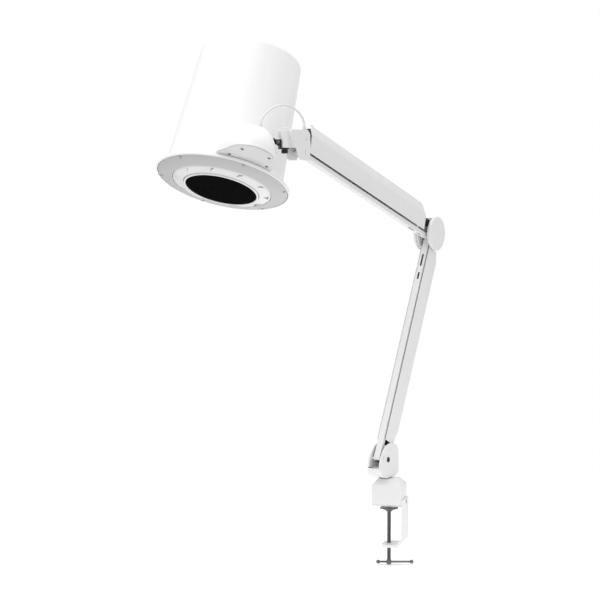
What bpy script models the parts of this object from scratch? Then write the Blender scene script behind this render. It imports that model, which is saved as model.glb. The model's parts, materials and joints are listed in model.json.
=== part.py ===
"""Swing arm desk lamp with a table clamp, two balanced arms and a tall ring-light head.

Metres, +Z up. The origin is on the clamp screw's axis, on the underside of the jaw pad, which
is the face that sits on the table top. The clamp's mouth opens toward -Y.
The arms lie in one upright plane, which swivels about the base pin.
"""

import math

import bmesh
import bpy
from mathutils import Matrix, Vector

# ---------------------------------------------------------------- clearances
GAP = 0.0003            # between faces that touch or slide
PIVOT_PLAY = 0.0003     # radial play of a pin in its bore

# ---------------------------------------------------------------- clamp
BLOCK_LENGTH = 0.055    # along the mouth's direction, Y
BLOCK_WIDTH = 0.045     # along X
BLOCK_TOP = 0.0470      # plateau height
BLOCK_SHOULDER = 0.0375  # where the hipped top begins
BLOCK_HIP = 0.0100      # how far the hip leans in
PAD_THICK = 0.0018      # rubber on the upper jaw
STRAP_WIDTH = 0.0450
STRAP_TOP = 0.0118      # upper end of the strap, on the block's back
STRAP_THICK = 0.0046
STRAP_RECESS = 0.0014   # how deep the strap sits in the block's back
STRAP_BEND = 0.0125     # outside cut of the strap's corner
JAW_OPENING = 0.068     # from the jaw pad to the lower jaw
JAW_REACH = 0.0105      # lower jaw past the screw axis, toward the mouth
SCREW_RADIUS = 0.0036
SPINDLE_TAIL = 0.0250    # plain shank below the lower jaw
SPINDLE_HEAD_RADIUS = SCREW_RADIUS + 0.0007
SPINDLE_HEAD = 0.0088
PRESS_RADIUS = 0.0165   # pressure pad
PRESS_THICK = 0.0016
PRESS_HEIGHT = 0.0066
PRESS_HUB = 0.0065
PAD_REST_GAP = 0.0055   # pad top below the jaw pad, at rest
TOMMY_RADIUS = 0.0021
TOMMY_LENGTH = 0.066
TOMMY_BALL = 0.0036
TOMMY_SHIFT = 0.0105    # how far the bar has slid toward the strap
TOMMY_TURN = 14.5       # the bar's heading, degrees from Y about the screw axis
STRAP_SCREW_Z = 0.0066
STRAP_SCREW_HEAD = 0.0042
STRAP_SCREW_SINK = 0.0024

# ---------------------------------------------------------------- base knuckle
SWIVEL_Y = -0.008       # swivel axis from the screw axis
SWIVEL_TURN = -16.0     # arm plane's heading, degrees about Z
SWIVEL_RADIUS = 0.0060
SWIVEL_DEPTH = 0.030
BUSH_WALL = 0.0020
BUSH_FLANGE = 0.0010
COVER_HALF = 0.0090     # half width of an arm's cover, outside
CHEEK_THICK = 0.0029
CHEEK_OUT = COVER_HALF + 2 * GAP + CHEEK_THICK   # half width of every two-cheek bracket
KNUCKLE_FLOOR = 0.069   # top of the solid foot
LOWER_PIVOT = (0.011, 0.081)     # lower beam on the knuckle, in the arm plane
LOWER_LINK = (0.0163, 0.0039)    # from beam pivot to bar pivot, both ends
PIN_RADIUS = 0.0022
PIN_LEDGE = 0.0012      # head past the shank
PIN_HEAD = 0.0009
BASE_PIN_HEAD = 0.0047  # the large dark head on the knuckle

# ---------------------------------------------------------------- arms
LOWER_LENGTH = 0.430    # pivot to pivot
LOWER_LEAN = 27.0       # back from upright, degrees
UPPER_LENGTH = 0.472
UPPER_RISE = 18.0       # above level, degrees
UPPER_LINK = (0.0038, -0.0217)
COVER_WALL = 0.0015
LOWER_OPEN = -0.0174    # open edge of each cover, below the pivot line
UPPER_OPEN = -0.0161
COVER_SHOULDER = 0.0126
COVER_RIDGE = 0.0296
RIDGE_HALF = 0.0040
LOWER_COVER_ENDS = (0.031, LOWER_LENGTH - 0.026)
UPPER_COVER_ENDS = (0.022, UPPER_LENGTH - 0.020)
COVER_SCREW_INSET = 0.0080     # from the cover's end, on its ridge
BEAM_HALF = COVER_HALF - COVER_WALL - 0.0005
BEAM_DEPTH = 0.0060     # half depth about the pivot line
BEAM_WALL = 0.0018
BEAM_END = 0.0066       # end radius
BEAM_WEB_START = 0.028  # bare cheeks at each end of a beam
BAR_HALF = BEAM_HALF - 0.0015
BAR_DEPTH = 0.0036      # half depth
BAR_WALL = 0.0013
SPRING_RADIUS = 0.0036
SPRING_WIRE = 0.0008
SPRING_START = 0.060
SPRING_LENGTH = 0.190
POST_RADIUS = 0.0015

# ---------------------------------------------------------------- elbow
ELBOW_FROM_PIVOT = (0.0130, 0.0060)   # disc centre from the lower beam's elbow pivot
UPPER_FROM_LOWER = (0.0262, 0.0232)   # upper beam pivot from the lower beam's elbow pivot
ELBOW_RADIUS = 0.0285
ELBOW_WEB = 0.0050
ELBOW_WEB_ENDS = (82, 205)     # the web's angles, clear of both beams
CAP_RADIUS = ELBOW_RADIUS + 0.0027
CAP_THICK = 0.0046

# ---------------------------------------------------------------- arm tip
TIP_PIN_X = 0.0489      # head swivel axis from the upper beam's tip pivot
TIP_BOSS_RADIUS = 0.0065
TIP_BOSS_BOTTOM = -0.0150
TIP_TOP = 0.0135
TIP_WEB = 0.0035
HEAD_PIN_RADIUS = 0.0030
NUT_RADIUS = 0.0052
NUT_HEIGHT = 0.0060
YOKE_PLATE = 0.0022
HINGE_REACH = 0.0127    # swivel axis to tilt axis
HINGE_Z = -0.0060       # tilt axis, relative to the tip pivot's height
HINGE_WEB = 0.0070      # swivel axis to the yoke's upright
EAR_IN = 0.0032
EAR_RADIUS = 0.0040
HEAD_SWIVEL = -43.0     # stub heading in the arm plane's frame, degrees
HEAD_TILT = 18.0        # stub rises, degrees
HEAD_TURN = 17.0        # head about the stub, degrees
SPIGOT_RADIUS = 0.0040

# ---------------------------------------------------------------- head, about its own axis
STUB_DROP = 0.0512      # stub above the light's plane
SHELL_WALL = 0.0020
SHELL_TOP = 0.2340
SHELL_TOP_RADIUS = 0.0840
SHELL_BASE_RADIUS = 0.0955
SHELL_BASE_Z = 0.0300
SHELL_FILLET = 0.0085
RIM_RADIUS = SHELL_BASE_RADIUS + 0.0145
RIM_Z = 0.0070
RING_INNER = RIM_RADIUS - 0.0285
RING_THICK = 0.0022
LIGHT_OUTER = RING_INNER - 0.0005
LIGHT_THICK = 0.0025
GRILLE_RADIUS = 0.0585
GRILLE_Z = -0.0050
GRILLE_THICK = 0.0016
LIP_RADIUS = GRILLE_RADIUS + 0.0037
LIGHT_INNER = LIP_RADIUS + GAP
LIP_DEPTH = 0.0070
HOLE_RADIUS = 0.0072
HOLE_PITCH = 0.0175
FAN_DUCT = 0.0600
FAN_DUCT_WALL = 0.0020
FAN_BASE = 0.0080
FAN_HEIGHT = 0.0400
FAN_HUB = 0.0190
FAN_BLADES = 7
FILTER_OUTER = SHELL_TOP_RADIUS - SHELL_WALL - 0.0040
FILTER_INNER = FILTER_OUTER - 0.0200
FILTER_BASE = 0.0560
FILTER_TOP = 0.1900
HOUSING_HALF = 0.0380
HOUSING_SKIRT = HOUSING_HALF + 0.0080
HOUSING_MIDDLE = SHELL_BASE_RADIUS + 0.0325
HOUSING_REACH = 0.0420
HOUSING_ROOT = 0.0700   # where the skirt ends, inside the bucket's outline
HOUSING_STEP = 0.0240   # skirt's full width begins this far inside the middle
HOUSING_BASE = 0.0150
HOUSING_TOP = 0.0620
STUB_LENGTH = HOUSING_HALF - 0.0005   # tilt axis to the middle of the joint housing
HOUSING_WALL = 0.0025
COVER_SCREWS = ((0.0195, 0.0200), (-0.0255, 0.0200), (0.0285, -0.0155), (-0.0345, -0.0155))
SCREW_HEAD_RADIUS = 0.0024
SCREW_HEAD = 0.0010
SCREW_SHANK_RADIUS = 0.0013
RING_SCREW_CIRCLE = RIM_RADIUS - 0.0070
VENT_COUNT = 10

# ---------------------------------------------------------------- cable
CABLE_RADIUS = 0.00175
GLAND_RADIUS = 0.0036
GLAND_HEIGHT = 0.0060
ROUTE = [
    (0.00, 0.0000), (0.01, 0.0050), (0.03, 0.0100), (0.08, 0.0165), (0.15, 0.0220), (0.24, 0.0265),
    (0.34, 0.0295), (0.44, 0.0310), (0.54, 0.0308), (0.63, 0.0290), (0.72, 0.0260), (0.80, 0.0220),
    (0.87, 0.0175), (0.93, 0.0125), (0.97, 0.0080), (0.99, 0.0040), (1.00, 0.0000),
]                       # share of the span, height above the straight line between the glands


# ================================================================ helpers
def clear_scene():
    """Remove whatever the new file holds."""
    for item in list(bpy.data.objects):
        bpy.data.objects.remove(item, do_unlink=True)


def finish(name, colour, roughness, metallic=0.0):
    """A plain material."""
    made = bpy.data.materials.new(name)
    made.use_nodes = True
    shader = made.node_tree.nodes["Principled BSDF"]
    shader.inputs["Base Color"].default_value = (*colour, 1.0)
    shader.inputs["Roughness"].default_value = roughness
    shader.inputs["Metallic"].default_value = metallic
    return made


def frame(name, parent=None, place=(0, 0, 0), turn=(0, 0, 0)):
    """An empty that pieces hang on; turn is in degrees about X, Y and Z."""
    made = bpy.data.objects.new(name, None)
    made.empty_display_size = 0.02
    bpy.context.collection.objects.link(made)
    made.parent = parent
    made.location = place
    made.rotation_euler = [math.radians(angle) for angle in turn]
    return made


def place_mesh(name, shape, parent, material, smooth=30.0):
    """Turn a bmesh into a linked object with its normals facing out."""
    bmesh.ops.recalc_face_normals(shape, faces=shape.faces)
    mesh = bpy.data.meshes.new(name)
    shape.to_mesh(mesh)
    shape.free()
    mesh.shade_smooth()
    mesh.set_sharp_from_angle(angle=math.radians(smooth))
    made = bpy.data.objects.new(name, mesh)
    bpy.context.collection.objects.link(made)
    made.parent = parent
    if material is not None:
        mesh.materials.append(material)
    return made


def moved(shape, matrix):
    """Move a whole bmesh."""
    bmesh.ops.transform(shape, matrix=matrix, verts=shape.verts)
    return shape


def prism_shape(outline, low, high):
    """An XZ outline made solid between two Y values."""
    shape = bmesh.new()
    corners = [shape.verts.new((x, low, z)) for x, z in outline]
    face = shape.faces.new(corners)
    grown = bmesh.ops.extrude_face_region(shape, geom=[face])
    lifted = [item for item in grown["geom"] if isinstance(item, bmesh.types.BMVert)]
    bmesh.ops.translate(shape, verts=lifted, vec=(0, high - low, 0))
    return shape


def turned_shape(profile, steps=32):
    """A closed (radius, height) profile turned about Z; radius 0 makes a pole."""
    shape = bmesh.new()
    rows = []
    for radius, height in profile:
        if radius < 1e-7:
            rows.append([shape.verts.new((0, 0, height))])
            continue
        row = []
        for step in range(steps):
            angle = 2 * math.pi * step / steps
            row.append(shape.verts.new((radius * math.cos(angle), radius * math.sin(angle), height)))
        rows.append(row)
    for first, second in zip(rows, rows[1:] + rows[:1]):
        if len(first) == 1 and len(second) == 1:
            continue
        for step in range(steps):
            after = (step + 1) % steps
            if len(first) == 1:
                shape.faces.new((first[0], second[after], second[step]))
            elif len(second) == 1:
                shape.faces.new((first[step], first[after], second[0]))
            else:
                shape.faces.new((first[step], first[after], second[after], second[step]))
    return shape


def rod_shape(radius, low, high, steps=20):
    """A round bar on Z."""
    return turned_shape([(0, low), (radius, low), (radius, high), (0, high)], steps)


def loft_shape(rings):
    """Rings with the same count of points, skinned, with both ends closed."""
    shape = bmesh.new()
    rows = [[shape.verts.new(point) for point in ring] for ring in rings]
    count = len(rows[0])
    for first, second in zip(rows, rows[1:]):
        for index in range(count):
            after = (index + 1) % count
            shape.faces.new((first[index], first[after], second[after], second[index]))
    shape.faces.new(rows[0][::-1])
    shape.faces.new(rows[-1])
    return shape


def boolean(target, other, operation):
    """Apply another solid to this one, and hide that solid from the model."""
    change = target.modifiers.new(other.name, "BOOLEAN")
    change.operation = operation
    change.solver = "EXACT"
    change.object = other
    other.hide_render = True
    other.display_type = "WIRE"


def cut(target, shape, name, parent):
    """Cut a bmesh out of an object."""
    boolean(target, place_mesh("cut_" + name, shape, parent, None), "DIFFERENCE")


def join(target, shape, name, parent):
    """Join a bmesh to an object."""
    boolean(target, place_mesh("add_" + name, shape, parent, None), "UNION")


def arc(centre, radius, start, end, count):
    """Points of an arc in the XZ plane, degrees."""
    points = []
    for step in range(count):
        angle = math.radians(start + (end - start) * step / (count - 1))
        points.append((centre[0] + radius * math.cos(angle), centre[1] + radius * math.sin(angle)))
    return points


def along_y(shape, x=0.0, z=0.0):
    """Lay a Z-turned shape along Y, through a point of the arm plane."""
    return moved(shape, Matrix.Translation((x, 0, z)) @ Matrix.Rotation(math.radians(-90), 4, "X"))


def pin(name, parent, material, x=0.0, z=0.0, rim=PIN_RADIUS + PIN_LEDGE):
    """A pivot pin across two cheeks, with a low head on each side."""
    half = CHEEK_OUT + GAP
    head = PIN_HEAD
    profile = [(0, -half - head), (rim, -half - head), (rim, -half), (PIN_RADIUS, -half),
               (PIN_RADIUS, half), (rim, half), (rim, half + head), (0, half + head)]
    return place_mesh(name, along_y(turned_shape(profile, 12), x, z), parent, material)


def bore(target, name, parent, x=0.0, z=0.0, radius=None, half=0.03):
    """A round hole across the arm plane."""
    size = radius or PIN_RADIUS + PIVOT_PLAY
    cut(target, along_y(rod_shape(size, -half, half, 12), x, z), name, parent)


# ================================================================ clamp
def build_clamp(steel, white, rubber, plastic):
    """Everything that stays with the table."""
    half_x = BLOCK_WIDTH / 2
    half_y = BLOCK_LENGTH / 2
    bottom = PAD_THICK + GAP
    rings = []
    for height, inset in ((bottom, 0.0008), (bottom + 0.0008, 0), (BLOCK_SHOULDER, 0),
                          (BLOCK_TOP, BLOCK_HIP)):
        x = half_x - inset
        y = half_y - inset
        rings.append([(-x, -y, height), (x, -y, height), (x, y, height), (-x, y, height)])
    block = place_mesh("clamp_block", loft_shape(rings), None, white, 20)
    recess = prism_shape([(-STRAP_WIDTH / 2 - GAP, -0.01), (STRAP_WIDTH / 2 + GAP, -0.01),
                          (STRAP_WIDTH / 2 + GAP, STRAP_TOP + GAP), (-STRAP_WIDTH / 2 - GAP, STRAP_TOP + GAP)],
                         half_y - STRAP_RECESS - GAP, half_y + 0.02)
    cut(block, recess, "strap_recess", None)
    bush_radius = SWIVEL_RADIUS + PIVOT_PLAY + BUSH_WALL
    bush_floor = BLOCK_TOP - SWIVEL_DEPTH
    socket = moved(rod_shape(bush_radius + GAP, bush_floor - GAP, BLOCK_TOP + 0.01, 24),
                   Matrix.Translation((0, SWIVEL_Y, 0)))
    cut(block, socket, "bush_socket", None)
    screw_hole = along_y(rod_shape(0.0024, 0.0, 0.05, 12))
    cut(block, moved(screw_hole, Matrix.Translation((0, half_y - 0.012, STRAP_SCREW_Z))), "screw_hole", None)

    pad_outline = [(-half_x + 0.002, 0), (half_x - 0.002, 0), (half_x - 0.002, PAD_THICK),
                   (-half_x + 0.002, PAD_THICK)]
    place_mesh("jaw_pad", prism_shape(pad_outline, -half_y + 0.002, half_y - 0.002), None, rubber)

    flange = bush_radius + 0.0030
    bore_radius = SWIVEL_RADIUS + PIVOT_PLAY
    bush = turned_shape([(bore_radius, bush_floor), (bush_radius, bush_floor),
                         (bush_radius, BLOCK_TOP + GAP), (flange, BLOCK_TOP + GAP),
                         (flange, BLOCK_TOP + GAP + BUSH_FLANGE),
                         (bore_radius, BLOCK_TOP + GAP + BUSH_FLANGE)], 24)
    place_mesh("swivel_bush", moved(bush, Matrix.Translation((0, SWIVEL_Y, 0))), None, plastic)

    build_strap(steel, white)


def build_strap(steel, white):
    """The bent strap, its screw, and the spindle that it carries."""
    half_y = BLOCK_LENGTH / 2
    inner = half_y - STRAP_RECESS
    outer = inner + STRAP_THICK
    jaw = -JAW_OPENING
    low = jaw - STRAP_THICK
    side = [(inner, STRAP_TOP), (outer, STRAP_TOP), (outer, low + STRAP_BEND), (outer - STRAP_BEND, low),
            (-JAW_REACH, low), (-JAW_REACH, jaw), (inner - STRAP_BEND + 0.002, jaw),
            (inner, jaw + STRAP_BEND - 0.002)]
    shape = prism_shape(side, -STRAP_WIDTH / 2, STRAP_WIDTH / 2)
    strap = place_mesh("clamp_strap", moved(shape, Matrix.Rotation(math.radians(90), 4, "Z")), None,
                       white, 20)
    cut(strap, rod_shape(SCREW_RADIUS + GAP, -0.12, 0.0, 20), "spindle_hole", None)
    for side_sign in (-1, 1):
        corner = prism_shape([(-0.006, -0.2), (0.006, -0.2), (0.006, 0.0), (-0.006, 0.0)], -0.006, 0.006)
        turn = Matrix.Rotation(math.radians(45), 4, "Z")
        spot = Matrix.Translation((side_sign * STRAP_WIDTH / 2, -JAW_REACH, 0))
        cut(strap, moved(corner, spot @ turn), "corner_%d" % (side_sign + 1), None)
    seat = STRAP_THICK - STRAP_SCREW_SINK
    at_screw = Matrix.Translation((0, inner, STRAP_SCREW_Z))
    hole = turned_shape([(0, -0.01), (0.0024, -0.01), (0.0024, seat), (STRAP_SCREW_HEAD + GAP, seat),
                         (STRAP_SCREW_HEAD + GAP, 0.01), (0, 0.01)], 16)
    cut(strap, moved(along_y(hole), at_screw), "strap_hole", None)
    screw = turned_shape([(0, -0.0105), (0.0020, -0.0105), (0.0020, seat + GAP),
                          (STRAP_SCREW_HEAD, seat + GAP), (STRAP_SCREW_HEAD, STRAP_THICK - 0.0006),
                          (0, STRAP_THICK - 0.0002)], 16)
    place_mesh("strap_screw", moved(along_y(screw), at_screw), None, steel)

    pad_top = -PAD_REST_GAP
    press = turned_shape([(0, pad_top - 0.0008), (0.004, pad_top - 0.0008), (0.004, pad_top),
                          (PRESS_RADIUS, pad_top), (PRESS_RADIUS, pad_top - PRESS_THICK),
                          (PRESS_HUB + 0.0022, pad_top - 0.0040), (PRESS_HUB, pad_top - 0.0052),
                          (PRESS_HUB, pad_top - PRESS_HEIGHT), (SCREW_RADIUS + GAP, pad_top - PRESS_HEIGHT),
                          (SCREW_RADIUS + GAP, pad_top - 0.0027), (0, pad_top - 0.0027)], 26)
    place_mesh("pressure_pad", press, None, steel)

    head_top = low - SPINDLE_TAIL
    hub = head_top - SPINDLE_HEAD
    spindle = turned_shape([(0, hub), (SPINDLE_HEAD_RADIUS - 0.001, hub),
                            (SPINDLE_HEAD_RADIUS, hub + 0.001), (SPINDLE_HEAD_RADIUS, head_top - 0.001),
                            (SPINDLE_HEAD_RADIUS - 0.001, head_top), (SCREW_RADIUS, head_top),
                            (SCREW_RADIUS, pad_top - 0.0037), (SCREW_RADIUS - 0.0008, pad_top - 0.0030),
                            (0, pad_top - 0.0030)], 20)
    spindle = place_mesh("clamp_spindle", spindle, None, steel)
    tommy_z = (head_top + hub) / 2
    cut(spindle, moved(rod_shape(TOMMY_RADIUS + GAP, -0.03, 0.03, 16), lying(tommy_z)), "tommy_hole", None)
    reach = TOMMY_LENGTH / 2
    bar = turned_shape([(0, -reach), (TOMMY_BALL * 0.7, -reach + 0.0010), (TOMMY_BALL, -reach + 0.0035),
                        (TOMMY_BALL * 0.7, -reach + 0.0060), (TOMMY_RADIUS, -reach + 0.0068),
                        (TOMMY_RADIUS, reach - 0.0068), (TOMMY_BALL * 0.7, reach - 0.0060),
                        (TOMMY_BALL, reach - 0.0035), (TOMMY_BALL * 0.7, reach - 0.0010), (0, reach)], 16)
    slid = lying(tommy_z) @ Matrix.Translation((0, 0, TOMMY_SHIFT))
    place_mesh("tommy_bar", moved(bar, slid), None, steel)


def lying(height):
    """The matrix that lays a Z-turned shape along the tommy bar's heading."""
    heading = Matrix.Rotation(math.radians(TOMMY_TURN), 4, "Z")
    return Matrix.Translation((0, 0, height)) @ heading @ Matrix.Rotation(math.radians(-90), 4, "X")


# ================================================================ knuckle
def build_knuckle(swivel, steel, black, white):
    """The base bracket in the swivel frame, with its pins."""
    foot = BLOCK_TOP + BUSH_FLANGE + 3 * GAP
    outline = [(-0.0150, foot), (0.0150, foot)]
    outline += [(0.0290, foot + 0.0035), (0.0370, foot + 0.0100), (0.0405, foot + 0.0180)]
    outline += [(0.0400, 0.0760), (0.0370, 0.0850), (0.0310, 0.0940), (0.0235, 0.1010), (0.0160, 0.1055)]
    outline += [(0.0060, 0.1085), (-0.0060, 0.1085), (-0.0160, 0.1060), (-0.0240, 0.1000)]
    outline += [(-0.0285, 0.0920), (-0.0290, 0.0560), (-0.0260, foot + 0.0030)]
    bracket = place_mesh("base_bracket", prism_shape(outline, -CHEEK_OUT, CHEEK_OUT), swivel, white, 35)
    inner = CHEEK_OUT - CHEEK_THICK
    slot = [(-0.06, KNUCKLE_FLOOR), (0.06, KNUCKLE_FLOOR), (0.06, 0.13), (-0.06, 0.13)]
    cut(bracket, prism_shape(slot, -inner, inner), "knuckle_slot", swivel)
    x, z = LOWER_PIVOT
    bore(bracket, "knuckle_beam", swivel, x, z)
    bore(bracket, "knuckle_bar", swivel, x + LOWER_LINK[0], z + LOWER_LINK[1])
    top = KNUCKLE_FLOOR - 0.012
    cut(bracket, rod_shape(SWIVEL_RADIUS + GAP, 0.0, top + GAP, 24), "knuckle_swivel", swivel)
    low = BLOCK_TOP - SWIVEL_DEPTH + 0.001
    post = turned_shape([(0, low), (SWIVEL_RADIUS - 0.001, low), (SWIVEL_RADIUS, low + 0.001),
                         (SWIVEL_RADIUS, top), (0, top)], 24)
    place_mesh("swivel_pin", post, swivel, steel)
    pin("base_beam_pin", swivel, black, x, z, BASE_PIN_HEAD)
    pin("base_bar_pin", swivel, white, x + LOWER_LINK[0], z + LOWER_LINK[1])


# ================================================================ arm pieces
def cover_ring(along, shoulder, ridge, open_edge):
    """One section of a folded cover, outside then inside, at a place along the arm."""
    wall = COVER_WALL
    outside = [(-COVER_HALF, open_edge), (-COVER_HALF, shoulder), (-RIDGE_HALF, ridge),
               (RIDGE_HALF, ridge), (COVER_HALF, shoulder), (COVER_HALF, open_edge)]
    inside = [(COVER_HALF - wall, open_edge), (COVER_HALF - wall, shoulder - 0.4 * wall),
              (RIDGE_HALF - 0.6 * wall, ridge - wall), (-RIDGE_HALF + 0.6 * wall, ridge - wall),
              (-COVER_HALF + wall, shoulder - 0.4 * wall), (-COVER_HALF + wall, open_edge)]
    return [(along, y, z) for y, z in outside + inside]


def cover_shape(ends, drops, open_edge):
    """A cover between two places; drops lowers the ridge near each end."""
    start, stop = ends
    full = COVER_RIDGE - COVER_SHOULDER
    rings = []
    for side, direction in ((start, 1), (stop, -1)):
        part = []
        for inset, drop in drops[0 if direction == 1 else 1]:
            ridge = COVER_RIDGE - drop
            shoulder = COVER_SHOULDER - max(0.0, drop - full * 0.55)
            part.append(cover_ring(side + direction * inset, shoulder, ridge, open_edge))
        rings += part if direction == 1 else part[::-1]
    return loft_shape(rings)


def beam(name, parent, material, length):
    """A channel beam with bare cheeks at both ends, on its pivot line."""
    outline = arc((0, 0), BEAM_END, 90, 270, 7)
    outline += [(p[0] + length, p[1]) for p in arc((0, 0), BEAM_END, -90, 90, 7)]
    made = place_mesh(name, prism_shape(outline, -BEAM_HALF, BEAM_HALF), parent, material, 35)
    inner = BEAM_HALF - BEAM_WALL
    web = BEAM_DEPTH - BEAM_WALL
    start = BEAM_WEB_START
    channel = [(-0.02, -0.02), (length + 0.02, -0.02), (length + 0.02, 0.02), (length - start, 0.02),
               (length - start, web), (start, web), (start, 0.02), (-0.02, 0.02)]
    cut(made, prism_shape(channel, -inner, inner), name + "_channel", parent)
    for index, x in enumerate((0, length)):
        bore(made, "%s_bore_%d" % (name, index), parent, x, 0)
    for index, x in enumerate((SPRING_START - 0.006, SPRING_START + SPRING_LENGTH + 0.006)):
        post = along_y(rod_shape(POST_RADIUS, -BEAM_HALF + 0.0005, BEAM_HALF - 0.0005, 10), x, -0.0010)
        join(made, post, "%s_post_%d" % (name, index), parent)
    return made


def bar(name, parent, material, length, slots):
    """The visible inner bar: a shallow channel with its web outward, and slots in the web."""
    outline = arc((0, 0), BAR_DEPTH, 90, 270, 7)
    outline += [(p[0] + length, p[1]) for p in arc((0, 0), BAR_DEPTH, -90, 90, 7)]
    made = place_mesh(name, prism_shape(outline, -BAR_HALF, BAR_HALF), parent, material, 35)
    inner = BAR_HALF - BAR_WALL
    edge = 0.009
    channel = [(edge, -BAR_DEPTH + BAR_WALL), (length - edge, -BAR_DEPTH + BAR_WALL),
               (length - edge, 0.02), (edge, 0.02)]
    cut(made, prism_shape(channel, -inner, inner), name + "_channel", parent)
    for index, x in enumerate((0, length)):
        bore(made, "%s_bore_%d" % (name, index), parent, x, 0)
    for index, (start, stop) in enumerate(slots):
        slot = prism_shape([(start, -0.02), (stop, -0.02), (stop, 0), (start, 0)], -0.0017, 0.0017)
        cut(made, slot, "%s_slot_%d" % (name, index), parent)
    return made


def spring(name, parent, material):
    """The outer shape of a coil spring in its beam."""
    start = SPRING_START
    stop = SPRING_START + SPRING_LENGTH
    inner = SPRING_RADIUS - 2 * SPRING_WIRE
    profile = [(inner, start), (SPRING_RADIUS, start), (SPRING_RADIUS, stop), (inner, stop)]
    shape = moved(turned_shape(profile, 14), Matrix.Rotation(math.radians(90), 4, "Y"))
    return place_mesh(name, moved(shape, Matrix.Translation((0, 0, -0.0010))), parent, material)


def build_lower_arm(swivel, steel, white, alloy):
    """Cover, beam, bar and spring between the knuckle and the elbow."""
    x, z = LOWER_PIVOT
    heading = (0, -90 - LOWER_LEAN, 0)
    arm = frame("lower_arm", swivel, (x, 0, z), heading)
    link = frame("lower_link", swivel, (x + LOWER_LINK[0], 0, z + LOWER_LINK[1]), heading)
    near = [(0.0, 0.0115), (0.012, 0.0060), (0.030, 0.0)]
    far = [(0.0, 0.0100), (0.006, 0.0040), (0.014, 0.0)]
    place_mesh("lower_cover", cover_shape(LOWER_COVER_ENDS, (near, far), LOWER_OPEN), arm, white, 20)
    beam("lower_beam", arm, alloy, LOWER_LENGTH)
    bar("lower_bar", link, white, LOWER_LENGTH, [(0.340, 0.354), (0.366, 0.390)])
    spring("lower_spring", arm, steel)


def build_elbow(swivel, steel, white):
    """The elbow bracket, its caps and pins; its frame stays level."""
    lean = math.radians(LOWER_LEAN)
    x = LOWER_PIVOT[0] - LOWER_LENGTH * math.sin(lean)
    z = LOWER_PIVOT[1] + LOWER_LENGTH * math.cos(lean)
    elbow = frame("elbow", swivel, (x, 0, z))
    outline = arc(ELBOW_FROM_PIVOT, ELBOW_RADIUS, 0, 348, 30)
    bracket = place_mesh("elbow_bracket", prism_shape(outline, -CHEEK_OUT, CHEEK_OUT), elbow, white, 25)
    inner = CHEEK_OUT - CHEEK_THICK
    first, last = ELBOW_WEB_ENDS
    room = arc(ELBOW_FROM_PIVOT, ELBOW_RADIUS - ELBOW_WEB, first, last, 11)
    room += arc(ELBOW_FROM_PIVOT, ELBOW_RADIUS + 0.02, last, first + 360, 13)
    cut(bracket, prism_shape(room, -inner, inner), "elbow_room", elbow)
    spots = {
        "elbow_lower_beam_pin": (0.0, 0.0),
        "elbow_lower_bar_pin": LOWER_LINK,
        "elbow_upper_beam_pin": UPPER_FROM_LOWER,
        "elbow_upper_bar_pin": (UPPER_FROM_LOWER[0] + UPPER_LINK[0], UPPER_FROM_LOWER[1] + UPPER_LINK[1]),
    }
    for name, spot in spots.items():
        bore(bracket, name + "_bore", elbow, *spot)
        pin(name, elbow, steel, *spot)
    slot = prism_shape([(-0.0055, 0), (0.0055, 0), (0.0055, 0.06), (-0.0055, 0.06)], -0.0012, 0.0012)
    centre = Matrix.Translation((ELBOW_FROM_PIVOT[0] - 0.0045, 0, ELBOW_FROM_PIVOT[1]))
    cut(bracket, moved(slot, centre), "elbow_slot", elbow)
    inside = CHEEK_OUT + GAP
    hollow = inside + PIN_HEAD + 2 * GAP
    outside = inside + CAP_THICK
    profile = [(0, hollow), (CAP_RADIUS - 0.0045, hollow), (CAP_RADIUS - 0.0045, inside),
               (CAP_RADIUS - 0.0004, inside), (CAP_RADIUS, inside + 0.0012),
               (CAP_RADIUS - 0.0004, outside - 0.0012), (CAP_RADIUS - 0.0022, outside), (0, outside)]
    for name, flip in (("elbow_cap_near", 1), ("elbow_cap_far", -1)):
        shape = turned_shape(profile, 32)
        shape = moved(shape, Matrix.Rotation(math.radians(-90 * flip), 4, "X"))
        spot = Matrix.Translation((ELBOW_FROM_PIVOT[0], 0, ELBOW_FROM_PIVOT[1]))
        place_mesh(name, moved(shape, spot), elbow, white, 25)
    return elbow


def build_upper_arm(elbow, steel, white, alloy):
    """Cover, beam, bar and spring between the elbow and the tip."""
    x, z = UPPER_FROM_LOWER
    heading = (0, -UPPER_RISE, 0)
    arm = frame("upper_arm", elbow, (x, 0, z), heading)
    link = frame("upper_link", elbow, (x + UPPER_LINK[0], 0, z + UPPER_LINK[1]), heading)
    near = [(0.0, 0.0150), (0.003, 0.0100), (0.008, 0.0040), (0.015, 0.0)]
    far = [(0.0, 0.0045), (0.002, 0.0020), (0.005, 0.0)]
    shape = cover_shape(UPPER_COVER_ENDS, (near, far), UPPER_OPEN)
    cover = place_mesh("upper_cover", shape, arm, white, 20)
    spot = Matrix.Translation((UPPER_COVER_ENDS[1] - COVER_SCREW_INSET, 0, 0))
    cut(cover, moved(rod_shape(0.0016, 0.02, 0.04, 12), spot), "cover_screw_hole", arm)
    screw = turned_shape([(0, 0.0270), (0.0013, 0.0270), (0.0013, COVER_RIDGE + GAP),
                          (0.0026, COVER_RIDGE + GAP), (0.0022, COVER_RIDGE + 0.0016),
                          (0, COVER_RIDGE + 0.0019)], 14)
    place_mesh("cover_screw", moved(screw, spot), arm, steel)
    beam("upper_beam", arm, alloy, UPPER_LENGTH)
    bar("upper_bar", link, white, UPPER_LENGTH, [(0.020, 0.034), (0.046, 0.070)])
    spring("upper_spring", arm, steel)


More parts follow.
